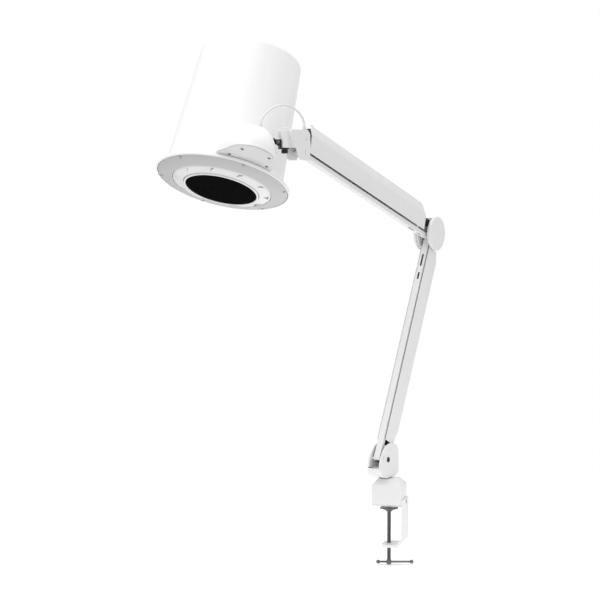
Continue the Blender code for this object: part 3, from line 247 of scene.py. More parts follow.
# ======== finishes
def finish(name, colour, roughness, metallic=0.0, tone=0.03, grain=900.0, depth=0.00003,
           stretch=None, coat=0.0, subsurface=0.0, specular=0.5):
    """A procedural finish: broad tone changes, fine roughness changes and a fine surface bump.
    stretch is a mapping (rotation, scale) that draws the pattern out along one direction."""
    made = bpy.data.materials.new(name)
    made.use_nodes = True
    nodes = made.node_tree.nodes
    links = made.node_tree.links
    shader = nodes["Principled BSDF"]
    shader.inputs["Metallic"].default_value = metallic
    shader.inputs["Coat Weight"].default_value = coat
    shader.inputs["Specular IOR Level"].default_value = specular
    shader.inputs["Coat Roughness"].default_value = 0.2
    shader.inputs["Subsurface Weight"].default_value = subsurface
    shader.inputs["Subsurface Scale"].default_value = 0.004
    where = nodes.new("ShaderNodeTexCoord").outputs["Object"]
    if stretch:
        mapping = nodes.new("ShaderNodeMapping")
        mapping.vector_type = "TEXTURE"
        mapping.inputs["Rotation"].default_value = stretch[0]
        mapping.inputs["Scale"].default_value = stretch[1]
        links.new(where, mapping.inputs["Vector"])
        where = mapping.outputs["Vector"]

    def noise(scale, detail):
        texture = nodes.new("ShaderNodeTexNoise")
        texture.inputs["Scale"].default_value = scale
        texture.inputs["Detail"].default_value = detail
        links.new(where, texture.inputs["Vector"])
        return texture.outputs["Fac"]

    ramp = nodes.new("ShaderNodeValToRGB")
    ramp.color_ramp.elements[0].position = 0.30
    ramp.color_ramp.elements[1].position = 0.70
    ramp.color_ramp.elements[0].color = (*[value * (1 - tone) for value in colour], 1)
    ramp.color_ramp.elements[1].color = (*colour, 1)
    links.new(noise(22.0, 3.0), ramp.inputs["Fac"])
    links.new(ramp.outputs["Color"], shader.inputs["Base Color"])
    fine = noise(grain, 2.0)
    spread = nodes.new("ShaderNodeMapRange")
    spread.inputs["To Min"].default_value = roughness - 0.07
    spread.inputs["To Max"].default_value = roughness + 0.07
    links.new(fine, spread.inputs["Value"])
    links.new(spread.outputs["Result"], shader.inputs["Roughness"])
    bump = nodes.new("ShaderNodeBump")
    bump.inputs["Strength"].default_value = 0.5
    bump.inputs["Distance"].default_value = depth
    links.new(fine, bump.inputs["Height"])
    links.new(bump.outputs["Normal"], shader.inputs["Normal"])
    return made


HEAD_TURN = HEAD.to_euler()
FINISH = {
    "white_paint": finish("powder_coat", (0.80, 0.80, 0.805), 0.42, tone=0.02, grain=1300, depth=0.00005),
    # The white plastic's tone is drawn out along the head's axis into faint streaks on the bucket and housing:
    # painted reflection streaks.
    "white_plastic": finish("moulded_white", (0.93, 0.93, 0.93), 0.34, tone=0.045, grain=1,
                            depth=0.00002, stretch=(HEAD_TURN, (0.55, 0.55, 60.0)), coat=0.15),
    "grey_plastic": finish("moulded_grey", (0.53, 0.53, 0.535), 0.42, tone=0.04, grain=1500, depth=0.00004),
    "steel": finish("zinc_steel", (0.20, 0.20, 0.20), 0.30, 1.0, tone=0.25, grain=1800, depth=0.00001),
    "alloy": finish("dark_anodised", (0.05, 0.05, 0.052), 0.42, 1.0, tone=0.15, grain=600, depth=0.00001),
    "black_steel": finish("blackened_steel", (0.015, 0.015, 0.016), 0.40, 0.5, tone=0.3, grain=1400,
                          depth=0.00002),
    "black_plastic": finish("black_plastic", (0.002, 0.002, 0.002), 0.8, tone=0.2, grain=1600,
                            depth=0.00002, specular=0.05),
    "jaw_rubber": finish("jaw_rubber", (0.72, 0.72, 0.72), 0.75, tone=0.06, grain=700, depth=0.00008),
    "bush_plastic": finish("bush_plastic", (0.20, 0.20, 0.21), 0.5, tone=0.1, grain=1200, depth=0.00002),
    "cable_jacket": finish("cable_vinyl", (0.80, 0.80, 0.80), 0.45, tone=0.05, grain=1100, depth=0.00003),
    "light_plastic": finish("milky_cover", (0.78, 0.78, 0.785), 0.22, tone=0.03, grain=300,
                            depth=0.00001, coat=0.3),
    "circuit_board": finish("solder_mask", (0.80, 0.81, 0.80), 0.4, tone=0.05, grain=800, depth=0.00002),
    "filter_paper": finish("filter_paper", (0.80, 0.79, 0.75), 0.9, tone=0.08, grain=1500, depth=0.0001),
}


BRIGHT_STEEL = finish("bright_zinc", (0.42, 0.42, 0.42), 0.38, 0.6, tone=0.15, grain=1800, depth=0.00001)
PLATE_GREY = finish("light_grey", (0.68, 0.68, 0.685), 0.42, tone=0.04, grain=1500, depth=0.00004)
# Darker grey for the walls on one side of each ring light pocket: painted shade.
POCKET_PAINTED_SHADE = finish("pocket_painted_shade", (0.36, 0.36, 0.37), 0.30, tone=0.05, grain=300, depth=0.00001, coat=0.2)


# ======== mesh helpers
def prism(outline, low, high):
    """An XZ outline made solid between two Y values."""
    shape = bmesh.new()
    near = [shape.verts.new((x, low, z)) for x, z in outline]
    far = [shape.verts.new((x, high, z)) for x, z in outline]
    count = len(outline)
    for index in range(count):
        after = (index + 1) % count
        shape.faces.new((near[index], near[after], far[after], far[index]))
    shape.faces.new(near[::-1])
    shape.faces.new(far)
    return shape


def turned(profile, steps=64):
    """A closed (radius, height) profile turned about Z; radius 0 makes a pole."""
    shape = bmesh.new()
    rows = []
    for radius, height in profile:
        if radius < 1e-7:
            rows.append([shape.verts.new((0, 0, height))])
            continue
        angles = [2 * math.pi * step / steps for step in range(steps)]
        rows.append([shape.verts.new((radius * math.cos(a), radius * math.sin(a), height)) for a in angles])
    for first, second in zip(rows, rows[1:] + rows[:1]):
        if len(first) == 1 and len(second) == 1:
            continue
        for step in range(steps):
            after = (step + 1) % steps
            if len(first) == 1:
                shape.faces.new((first[0], second[after], second[step]))
            elif len(second) == 1:
                shape.faces.new((first[step], first[after], second[0]))
            else:
                shape.faces.new((first[step], first[after], second[after], second[step]))
    return shape


def loft(rings):
    """Rings with the same count of points, skinned, with both ends closed."""
    shape = bmesh.new()
    rows = [[shape.verts.new(point) for point in ring] for ring in rings]
    count = len(rows[0])
    for first, second in zip(rows, rows[1:]):
        for index in range(count):
            after = (index + 1) % count
            shape.faces.new((first[index], first[after], second[after], second[index]))
    shape.faces.new(rows[0][::-1])
    shape.faces.new(rows[-1])
    return shape


def tube(path, radius, sides=8):
    """A round wire along a path."""
    rings = []
    side = None
    for index, point in enumerate(path):
        before = path[max(index - 1, 0)]
        after = path[min(index + 1, len(path) - 1)]
        ahead = (after - before).normalized()
        if side is None:
            side = ahead.orthogonal().normalized()
        side = (side - ahead * side.dot(ahead)).normalized()
        other = ahead.cross(side)
        angles = [2 * math.pi * step / sides for step in range(sides)]
        rings.append([point + radius * (math.cos(a) * side + math.sin(a) * other) for a in angles])
    return loft(rings)


def rod(radius, low, high, steps=48):
    """A round bar on Z."""
    return turned([(0, low), (radius, low), (radius, high), (0, high)], steps)


def moved(shape, matrix):
    """Move a whole bmesh."""
    bmesh.ops.transform(shape, matrix=matrix, verts=shape.verts)
    return shape


def arc(centre, radius, start, end, count):
    """Points of an arc, degrees."""
    points = []
    for step in range(count):
        angle = math.radians(start + (end - start) * step / (count - 1))
        points.append((centre[0] + radius * math.cos(angle), centre[1] + radius * math.sin(angle)))
    return points


def rounded(points, radius, steps=3):
    """A closed outline with its corners rounded; radius is one size, or one for each corner."""
    sizes = radius if isinstance(radius, (list, tuple)) else [radius] * len(points)
    made = []
    for index, size in enumerate(sizes):
        corner = Vector(points[index])
        back = Vector(points[index - 1]) - corner
        ahead = Vector(points[(index + 1) % len(points)]) - corner
        reach = min(size, 0.45 * back.length, 0.45 * ahead.length)
        first = corner + back.normalized() * reach
        last = corner + ahead.normalized() * reach
        for step in range(steps + 1):
            share = step / steps
            made.append(tuple(first * (1 - share) ** 2 + corner * 2 * share * (1 - share)
                              + last * share ** 2))
    return made


def slot_outline(start, stop, half):
    """A slot with round ends, in X and one other direction."""
    return arc((stop - half, 0), half, -90, 90, 9) + arc((start + half, 0), half, 90, 270, 9)


def make(name, shape, place=WORLD):
    """A linked object with its mesh baked in the model's frame."""
    moved(shape, place)
    bmesh.ops.recalc_face_normals(shape, faces=shape.faces)
    mesh = bpy.data.meshes.new(name)
    shape.to_mesh(mesh)
    shape.free()
    made = bpy.data.objects.new(name, mesh)
    bpy.context.scene.collection.objects.link(made)
    return made


def cut(piece, shape, place=WORLD, operation="DIFFERENCE"):
    """Cut one shape out of a piece, or join it, and keep the result as the piece's mesh."""
    tool = make("tool", shape, place)
    change = piece.modifiers.new("cut", "BOOLEAN")
    change.operation = operation
    change.solver = "EXACT"
    change.object = tool
    worked = piece.evaluated_get(bpy.context.evaluated_depsgraph_get())
    mesh = bpy.data.meshes.new_from_object(worked)
    piece.modifiers.clear()
    piece.data = mesh
    bpy.data.objects.remove(tool)


def soften(piece, width, segments=2, angle=32.0):
    """Round the sharp edges."""
    change = piece.modifiers.new("edges", "BEVEL")
    change.width = width
    change.segments = segments
    change.limit_method = "ANGLE"
    change.angle_limit = math.radians(angle)
    change.harden_normals = True
    change.use_clamp_overlap = True


def dress(piece, body, kind, *nodes, bevel=0.0, segments=2, smooth=30.0):
    """Finish a piece: shading, edges, material and the body it rides on, and hide the CAD parts it stands for."""
    piece.data.materials.clear()
    piece.data.materials.append(FINISH[kind])
    piece.data.shade_smooth()
    piece.data.set_sharp_from_angle(angle=math.radians(smooth))
    if bevel:
        soften(piece, bevel, segments)
    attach(piece, body)
    if nodes:
        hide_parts(*nodes)
    return piece


# ======== camera, floor and light
LENS = 105
CAMERA_PLACE = (2.9802, 0.6093, 0.5715)
CAMERA_AZIMUTH = math.radians(104.5)
CAMERA_PITCH = math.radians(-4.0)
LOW_LIGHT = 0.70         # the room's light from below, and from above
HIGH_LIGHT = 0.86
KEY_POWER = 19.0
TOP_POWER = 24.0
FLOOR_RADIUS = 0.9


def build_stage():
    """The camera, a pale floor and soft light."""
    camera = bpy.data.objects.new("camera", bpy.data.cameras.new("camera"))
    bpy.context.scene.collection.objects.link(camera)
    camera.data.lens = LENS
    camera.data.sensor_width = 36
    camera.location = CAMERA_PLACE
    flat = math.cos(CAMERA_PITCH)
    look = Vector((-math.sin(CAMERA_AZIMUTH) * flat, math.cos(CAMERA_AZIMUTH) * flat,
                   math.sin(CAMERA_PITCH)))
    camera.rotation_euler = look.to_track_quat("-Z", "Y").to_euler()
    camera.data.clip_end = 100
    bpy.context.scene.camera = camera
    bpy.context.scene.view_settings.view_transform = "Standard"

    world = bpy.data.worlds.new("studio")
    world.use_nodes = True
    nodes = world.node_tree.nodes
    links = world.node_tree.links
    nodes["Background"].inputs["Color"].default_value = (1, 1, 1, 1)
    height = nodes.new("ShaderNodeSeparateXYZ")
    links.new(nodes.new("ShaderNodeTexCoord").outputs["Generated"], height.inputs["Vector"])
    room = nodes.new("ShaderNodeMapRange")      # light from above is stronger than from below
    room.inputs["From Min"].default_value = -0.5
    room.inputs["From Max"].default_value = 0.6
    room.inputs["To Min"].default_value = LOW_LIGHT
    room.inputs["To Max"].default_value = HIGH_LIGHT
    links.new(height.outputs["Z"], room.inputs["Value"])
    seen = nodes.new("ShaderNodeMix")           # the backdrop itself is white
    links.new(nodes.new("ShaderNodeLightPath").outputs["Is Camera Ray"], seen.inputs["Factor"])
    links.new(room.outputs["Result"], seen.inputs["A"])
    seen.inputs["B"].default_value = 1.0
    links.new(seen.outputs["Result"], nodes["Background"].inputs["Strength"])
    bpy.context.scene.world = world

    floor_material = bpy.data.materials.new("floor")
    floor_material.use_nodes = True
    shader = floor_material.node_tree.nodes["Principled BSDF"]
    shader.inputs["Base Color"].default_value = (0.9, 0.9, 0.9, 1)
    shader.inputs["Roughness"].default_value = 0.9
    shader.inputs["Specular IOR Level"].default_value = 0.0
    shader.inputs["Emission Color"].default_value = (1, 1, 1, 1)
    shader.inputs["Emission Strength"].default_value = 0.25
    shape = bmesh.new()
    level = cad_box[0][2] - 0.001
    shape.faces.new([shape.verts.new((x, y, level)) for x, y in arc((0, 0), FLOOR_RADIUS, 0, 355, 72)])
    floor = make("floor", shape)
    floor.data.materials.append(floor_material)

    middle = Vector((0.1, -0.08, 0.5))
    toward = Vector((0.9685, 0.2503, 0))
    right = Vector((-0.2503, 0.9685, 0))
    for name, place, size, power in (
        ("key_light", middle + toward * 1.6 - right * 1.5 + UP * 2.2, 1.8, KEY_POWER),
        ("top_light", middle - toward * 0.3 + UP * 2.4, 2.0, TOP_POWER),
    ):
        light = bpy.data.lights.new(name, "AREA")
        light.shape = "SQUARE"
        light.size = size
        light.energy = power
        lamp = bpy.data.objects.new(name, light)
        bpy.context.scene.collection.objects.link(lamp)
        lamp.location = place
        lamp.rotation_euler = (middle - place).to_track_quat("-Z", "Y").to_euler()




# ======== cable
def build_cable():
    """The loop of cable and its ribbed glands."""
    start_local = Vector((0.002, 0.0080, TIP_TOP + GAP))
    end_local = Vector((-0.004, HOUSING_MIDDLE + 0.0050, HOUSING_TOP + GAP))
    for name, body, place, spot in (("tip_relief", "tip", TIP, start_local),
                                    ("head_relief", "head", HEAD, end_local)):
        profile = [(CABLE_RADIUS + 0.0001, 0), (GLAND_RADIUS, 0), (GLAND_RADIUS, 0.0012)]
        for rib in range(3):
            low = 0.0012 + rib * 0.0014
            radius = GLAND_RADIUS - 0.0003 - 0.0002 * rib
            profile += [(radius - 0.0005, low + 0.0001), (radius - 0.0005, low + 0.0005),
                        (radius, low + 0.0007), (radius, low + 0.0013)]
        profile += [(GLAND_RADIUS * 0.72, GLAND_HEIGHT), (CABLE_RADIUS + 0.0001, GLAND_HEIGHT)]
        gland = make(name, turned(profile, 40), place @ Matrix.Translation(spot))
        dress(gland, body, "cable_jacket", name.replace("relief", "gland"), smooth=40)
    lift = Vector((0, 0, GLAND_HEIGHT + GAP))
    first = TIP @ (start_local + lift)
    last = HEAD @ (end_local + lift)
    points = [first.lerp(last, share) + Vector((0, 0, height)) for share, height in ROUTE]
    padded = [2 * points[0] - points[1]] + points + [2 * points[-1] - points[-2]]
    run = []
    for index in range(1, len(padded) - 2):
        before, start, stop, after = padded[index - 1:index + 3]
        for step in range(6):
            t = step / 6
            run.append(0.5 * ((2 * start) + (stop - before) * t
                              + (2 * before - 5 * start + 4 * stop - after) * t * t
                              + (3 * start - before - 3 * stop + after) * t ** 3))
    run.append(points[-1])
    curve = bpy.data.curves.new("cable_run", "CURVE")
    curve.dimensions = "3D"
    curve.bevel_depth = CABLE_RADIUS
    curve.bevel_resolution = 5
    curve.use_fill_caps = True
    spline = curve.splines.new("POLY")
    spline.points.add(len(run) - 1)
    for item, point in zip(spline.points, run):
        item.co = (*point, 1.0)
    curve.materials.append(FINISH["cable_jacket"])
    cable = bpy.data.objects.new("cable_run", curve)
    bpy.context.scene.collection.objects.link(cable)
    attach(cable, "tip")
    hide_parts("cable")


# ======== clamp
def screw(name, place, body, node, head_radius=SCREW_HEAD_RADIUS, head=SCREW_HEAD, depth=0.0035,
          bright=False):
    """A pan-head screw with a cross recess; its head looks along the local -Z."""
    crown = [(0, -head)] + [(head_radius * math.sin(math.radians(a)),
                             -head * math.cos(math.radians(a)) ** 0.7) for a in (25, 45, 62, 76, 86)]
    profile = crown + [(head_radius, 0), (SCREW_SHANK_RADIUS, 0), (SCREW_SHANK_RADIUS, depth), (0, depth)]
    made = make(name, turned(profile, 36), place)
    wide = head_radius * 0.55
    thin = head_radius * 0.13
    for turn in (0, 90):
        blade = prism([(-wide, -head * 1.4), (wide, -head * 1.4), (wide * 0.5, -head * 0.35),
                       (-wide * 0.5, -head * 0.35)], -thin, thin)
        cut(made, moved(blade, spin(turn, "Z")), place)
    dress(made, body, "steel", node, smooth=35)
    if bright:
        made.data.materials[0] = BRIGHT_STEEL


def build_clamp():
    """The block with its jaw pad and bush socket, the strap's screw, the pressure pad, the spindle and its tommy
    bar.
    """
    half_x = BLOCK_WIDTH / 2
    half_y = BLOCK_LENGTH / 2
    bottom = PAD_THICK + GAP
    corner = 0.0030
    levels = [(bottom, 0.0012), (bottom + 0.0005, 0.0004), (bottom + 0.0012, 0.0)]
    levels += [(BLOCK_SHOULDER - 0.0015, 0.0), (BLOCK_SHOULDER, 0.0004), (BLOCK_SHOULDER + 0.0013, 0.0014)]
    levels += [(BLOCK_TOP - 0.0010, BLOCK_HIP - 0.0010), (BLOCK_TOP - 0.0002, BLOCK_HIP),
               (BLOCK_TOP, BLOCK_HIP + 0.0012)]
    rings = []
    for height, inset in levels:
        x = half_x - inset
        y = half_y - inset
        outline = rounded([(-x, -y), (x, -y), (x, y), (-x, y)], corner, 6)
        rings.append([(a, b, height) for a, b in outline])
    block = make("clamp_block_body", loft(rings))
    side = STRAP_WIDTH / 2 + GAP
    cut(block, prism([(-side, -0.01), (side, -0.01), (side, STRAP_TOP + GAP), (-side, STRAP_TOP + GAP)],
                     half_y - STRAP_RECESS - GAP, half_y + 0.02))
    bush_radius = SWIVEL_RADIUS + GAP + BUSH_WALL
    bush_floor = BLOCK_TOP - SWIVEL_DEPTH
    cut(block, rod(bush_radius + GAP, bush_floor - GAP, BLOCK_TOP + 0.01), shift(0, SWIVEL_Y))
    dress(block, "clamp", "white_paint", "clamp_block", smooth=25)

    pad = [(-half_x + 0.002, 0), (half_x - 0.002, 0), (half_x - 0.002, PAD_THICK),
           (-half_x + 0.002, PAD_THICK)]
    pad = make("jaw_grip", prism(pad, -half_y + 0.002, half_y - 0.002))
    for groove in range(-3, 4):
        y = groove * 0.0065
        cut(pad, prism([(-0.03, -0.0010), (0.03, -0.0010), (0.03, 0.0005), (-0.03, 0.0005)],
                       y - 0.0007, y + 0.0007))
    dress(pad, "clamp", "jaw_rubber", "jaw_pad", bevel=0.0002)

    seat = half_y - STRAP_RECESS + STRAP_THICK - 0.0021
    at = shift(0, seat, STRAP_SCREW_Z) @ spin(90, "X")
    screw("strap_bolt", at, "clamp", "strap_screw", 0.0042, 0.0019, 0.012)

    pad_top = -PAD_REST_GAP
    press = [(0, pad_top - 0.0008), (0.004, pad_top - 0.0008), (0.0043, pad_top), (0.0120, pad_top),
             (0.0124, pad_top - 0.0004), (0.0136, pad_top - 0.0004), (0.0140, pad_top),
             (PRESS_RADIUS - 0.0004, pad_top), (PRESS_RADIUS, pad_top - 0.0004),
             (PRESS_RADIUS, pad_top - PRESS_THICK + 0.0004), (PRESS_RADIUS - 0.0004, pad_top - PRESS_THICK),
             (PRESS_HUB + 0.0030, pad_top - 0.0036), (PRESS_HUB + 0.0008, pad_top - 0.0046),
             (PRESS_HUB, pad_top - 0.0056), (PRESS_HUB - 0.0004, pad_top - PRESS_HEIGHT),
             (SCREW_RADIUS + GAP, pad_top - PRESS_HEIGHT), (SCREW_RADIUS + GAP, pad_top - 0.0027),
             (0, pad_top - 0.0027)]
    dress(make("clamp_foot", turned(press, 72)), "pad", "steel", "pressure_pad", smooth=35)

    low = -JAW_OPENING - STRAP_THICK
    head_top = low - SPINDLE_TAIL
    hub = head_top - SPINDLE_HEAD
    head = SPINDLE_HEAD_RADIUS
    spindle = make("threaded_spindle", threaded(SCREW_RADIUS, head_top - 0.001, pad_top - 0.0031))
    knob = [(0, hub), (head - 0.0012, hub), (head - 0.0003, hub + 0.0005), (head, hub + 0.0013),
            (head, head_top - 0.0013), (head - 0.0003, head_top - 0.0005), (head - 0.0010, head_top),
            (0, head_top)]
    cut(spindle, turned(knob, 40), operation="UNION")
    tommy_z = (head_top + hub) / 2
    lying = shift(0, 0, tommy_z) @ spin(TOMMY_TURN, "Z") @ FLAT_Y
    cut(spindle, rod(TOMMY_RADIUS + GAP, -0.03, 0.03, 32), lying)
    dress(spindle, "spindle", "steel", "clamp_spindle", smooth=35)

    reach = TOMMY_LENGTH / 2
    ball = []
    for angle in range(-90, 61, 15):
        turn = math.radians(angle)
        ball.append((TOMMY_BALL * math.cos(turn), -reach + TOMMY_BALL + TOMMY_BALL * math.sin(turn)))
    ball[0] = (0, -reach)
    other = [(radius, -height) for radius, height in ball[::-1]]
    bar = make("tommy_handle", turned(ball + other, 32), lying @ shift(0, 0, TOMMY_SHIFT))
    dress(bar, "tommy", "steel", "tommy_bar", smooth=35)


def threaded(radius, low, high):
    """A screw thread on Z."""
    per_turn = 8
    steps = 24
    count = int((high - low) / THREAD_PITCH * per_turn)
    rings = []
    for row in range(count + 1):
        height = low + (high - low) * row / count
        fade = min(1.0, row / per_turn, (count - row) / per_turn)
        ring = []
        for step in range(steps):
            phase = (height / THREAD_PITCH - step / steps) % 1.0
            groove = THREAD_DEPTH * min(1.0, max(0.0, 1.6 - abs(phase - 0.5) * 4.4)) * fade
            size = radius - groove
            angle = 2 * math.pi * step / steps
            ring.append((size * math.cos(angle), size * math.sin(angle), height))
        rings.append(ring)
    return loft(rings)


# ======== pins, knuckle and elbow
def pin(name, body, place, spot, rim=PIN_RIM, kind="steel"):
    """A pivot pin with a domed, dimpled head on each side."""
    half = CHEEK_OUT + GAP
    top = half + PIN_HEAD
    right = [(PIN_RADIUS, half), (rim, half), (rim, half + PIN_HEAD * 0.45),
             (rim - 0.0003, top - 0.0001), (rim - 0.0007, top), (rim * 0.42, top),
             (rim * 0.34, top - 0.0004), (0, top - 0.0005)]
    left = [(radius, -height) for radius, height in right[::-1]]
    at = place @ shift(spot[0], 0, spot[1]) @ FLAT_Y
    return dress(make(name + "_rivet", turned(left + right, 32), at), body, kind, name, smooth=35)


def bore(piece, place, spot, radius=PIN_RADIUS + GAP):
    """A round hole across the arm plane."""
    cut(piece, rod(radius, -0.03, 0.03, 32), place @ shift(spot[0], 0, spot[1]) @ FLAT_Y)


def build_knuckle():
    """The two-cheek foot that carries the lower arm."""
    foot = BLOCK_TOP + BUSH_FLANGE + 3 * GAP
    outline = [(-0.0150, foot), (0.0150, foot), (0.0290, foot + 0.0035), (0.0370, foot + 0.0100),
               (0.0405, foot + 0.0180), (0.0400, 0.0760), (0.0370, 0.0850), (0.0310, 0.0940),
               (0.0235, 0.1010), (0.0160, 0.1055), (0.0060, 0.1085), (-0.0060, 0.1085),
               (-0.0160, 0.1060), (-0.0240, 0.1000), (-0.0285, 0.0920), (-0.0290, 0.0560),
               (-0.0260, foot + 0.0030)]
    bracket = make("knuckle", prism(rounded(outline, 0.008, 4), -CHEEK_OUT, CHEEK_OUT), SWIVEL)
    slot = [(-0.06, KNUCKLE_FLOOR), (0.06, KNUCKLE_FLOOR), (0.06, 0.13), (-0.06, 0.13)]
    cut(bracket, prism(slot, -CHEEK_IN, CHEEK_IN), SWIVEL)
    bar_spot = (LOWER_PIVOT[0] + LOWER_LINK[0], LOWER_PIVOT[1] + LOWER_LINK[1])
    bore(bracket, SWIVEL, LOWER_PIVOT)
    bore(bracket, SWIVEL, bar_spot)
    cut(bracket, rod(SWIVEL_RADIUS + GAP, 0.0, KNUCKLE_FLOOR - 0.012), SWIVEL)
    dress(bracket, "base", "white_paint", "base_bracket", bevel=0.0007, segments=3)
    # The black head covers the spot where the knuckle shows a dark hole: painted shade.
    pin("base_beam_pin", "base", SWIVEL, LOWER_PIVOT, HOLE_SHADE_RIM, "black_steel")
    pin("base_bar_pin", "base", SWIVEL, bar_spot, kind="white_paint")


def build_elbow():
    """The round elbow bracket with its two caps and four pins."""
    outline = arc(ELBOW_CENTRE, ELBOW_RADIUS, 0, 356, 90)
    bracket = make("elbow_body", prism(outline, -CHEEK_OUT, CHEEK_OUT), ELBOW)
    first, last = ELBOW_WEB_ENDS
    room = arc(ELBOW_CENTRE, ELBOW_RADIUS - ELBOW_WEB, first, last, 31)
    room += arc(ELBOW_CENTRE, ELBOW_RADIUS + 0.02, last, first + 360, 31)
    cut(bracket, prism(room, -CHEEK_IN, CHEEK_IN), ELBOW)
    upper = UPPER_FROM_LOWER
    spots = {
        "elbow_lower_beam_pin": (0.0, 0.0),
        "elbow_lower_bar_pin": LOWER_LINK,
        "elbow_upper_beam_pin": upper,
        "elbow_upper_bar_pin": (upper[0] + UPPER_LINK[0], upper[1] + UPPER_LINK[1]),
    }
    for name, spot in spots.items():
        bore(bracket, ELBOW, spot)
        pin(name, "elbow", ELBOW, spot)
    outline = slot_outline(-0.0055, 0.0055, 0.0013)
    top = loft([[(x, y, z) for x, y in outline] for z in (0.0, 0.06)])
    cut(bracket, top, ELBOW @ shift(ELBOW_CENTRE[0] - 0.0045, 0, ELBOW_CENTRE[1]))
    dress(bracket, "elbow", "white_paint", "elbow_bracket", bevel=0.0005)
    inside = CHEEK_OUT + GAP
    hollow = inside + PIN_HEAD + 2 * GAP
    outside = inside + CAP_THICK
    rim = CAP_RADIUS
    profile = [(0, hollow), (rim - 0.0045, hollow), (rim - 0.0045, inside), (rim - 0.0006, inside),
               (rim - 0.0001, inside + 0.0005), (rim, inside + 0.0012), (rim, outside - 0.0020),
               (rim - 0.0003, outside - 0.0012), (rim - 0.0009, outside - 0.0005),
               (rim - 0.0018, outside - 0.0001), (rim - 0.0028, outside), (0, outside)]
    for name, flip in (("elbow_cap_near", 1), ("elbow_cap_far", -1)):
        at = ELBOW @ shift(ELBOW_CENTRE[0], 0, ELBOW_CENTRE[1]) @ spin(-90 * flip, "X")
        dress(make(name + "_disc", turned(profile, 96), at), "elbow", "white_paint", name, smooth=35)


# ======== arms
def cover_section(along, shoulder, ridge, open_edge):
    """One section of a folded cover, outside then inside."""
    wall = COVER_WALL
    outside = [(-COVER_HALF, open_edge), (-COVER_HALF, shoulder), (-RIDGE_HALF, ridge),
               (RIDGE_HALF, ridge), (COVER_HALF, shoulder), (COVER_HALF, open_edge)]
    inside = [(COVER_HALF - wall, open_edge), (COVER_HALF - wall, shoulder - 0.4 * wall),
              (RIDGE_HALF - 0.6 * wall, ridge - wall), (-RIDGE_HALF + 0.6 * wall, ridge - wall),
              (-COVER_HALF + wall, shoulder - 0.4 * wall), (-COVER_HALF + wall, open_edge)]
    edge = 0.0004
    bend = COVER_BEND
    inner = bend - wall * 0.6
    sizes = [edge, bend, bend, bend, bend, edge, edge, inner, inner, inner, inner, edge]
    return [(along, y, z) for y, z in rounded(outside + inside, sizes, 4)]


def arm_cover(name, place, ends, near, far, open_edge):
    """A folded cover; near and far say how its ridge drops toward each end."""
    full = COVER_RIDGE - COVER_SHOULDER
    rings = []
    for end, direction, drops in ((ends[0], 1, near), (ends[1], -1, far)):
        part = [cover_section(end + direction * inset, COVER_SHOULDER - max(0.0, drop - full * 0.55),
                              COVER_RIDGE - drop, open_edge) for inset, drop in drops]
        rings += part[::direction]
    return make(name, loft(rings), place)


def finer(points, steps=4):
    """The drop list, with points added along its straight stretches."""
    made = []
    for (a, drop_a), (b, drop_b) in zip(points, points[1:]):
        for step in range(steps):
            share = step / steps
            made.append((a + (b - a) * share, drop_a + (drop_b - drop_a) * share))
    return made + [points[-1]]


def arm_bar(name, node, body, place, length, slots):
    """The parallel bar: a shallow channel with round-ended slots in its web."""
    outline = arc((0, 0), BAR_DEPTH, 90, 270, 17)
    outline += [(x + length, z) for x, z in arc((0, 0), BAR_DEPTH, -90, 90, 17)]
    made = make(name, prism(outline, -BAR_HALF, BAR_HALF), place)
    inner = BAR_HALF - BAR_WALL
    edge = 0.009
    floor = -BAR_DEPTH + BAR_WALL
    channel = [(edge, floor), (length - edge, floor), (length - edge, 0.02), (edge, 0.02)]
    cut(made, prism(channel, -inner, inner), place)
    for x in (0, length):
        bore(made, place, (x, 0))
    for start, stop in slots:
        through = loft([[(x, y, z) for x, y in slot_outline(start, stop, 0.0018)] for z in (-0.02, 0.0)])
        cut(made, through, place)
    return dress(made, body, "white_paint", node, bevel=0.0004)


def coil(name, node, body, place):
    """A balance spring with its end hooks."""
    middle = SPRING_RADIUS - SPRING_WIRE
    pitch = 2.15 * SPRING_WIRE
    turns = int((SPRING_LENGTH - 0.012) / pitch)
    steps = 12
    path = []
    for step in range(turns * steps + 1):
        angle = 2 * math.pi * step / steps
        along = SPRING_START + 0.006 + pitch * step / steps
        path.append(Vector((along, middle * math.cos(angle), middle * math.sin(angle))))
    for end, direction in ((path[0], -1), (path[-1], 1)):
        hook = []
        for step in range(1, 7):
            share = step / 6
            spot = end.lerp(Vector((end.x + direction * 0.0062, 0, 0)), share)
            hook.append(spot + Vector((direction * 0.0014 * math.sin(math.pi * share), 0, 0)))
        path = hook[::-1] + path if direction < 0 else path + hook
    at = place @ shift(0, 0, -0.0010)
    return dress(make(name, tube(path, SPRING_WIRE, 8), at), body, "steel", node, smooth=60)


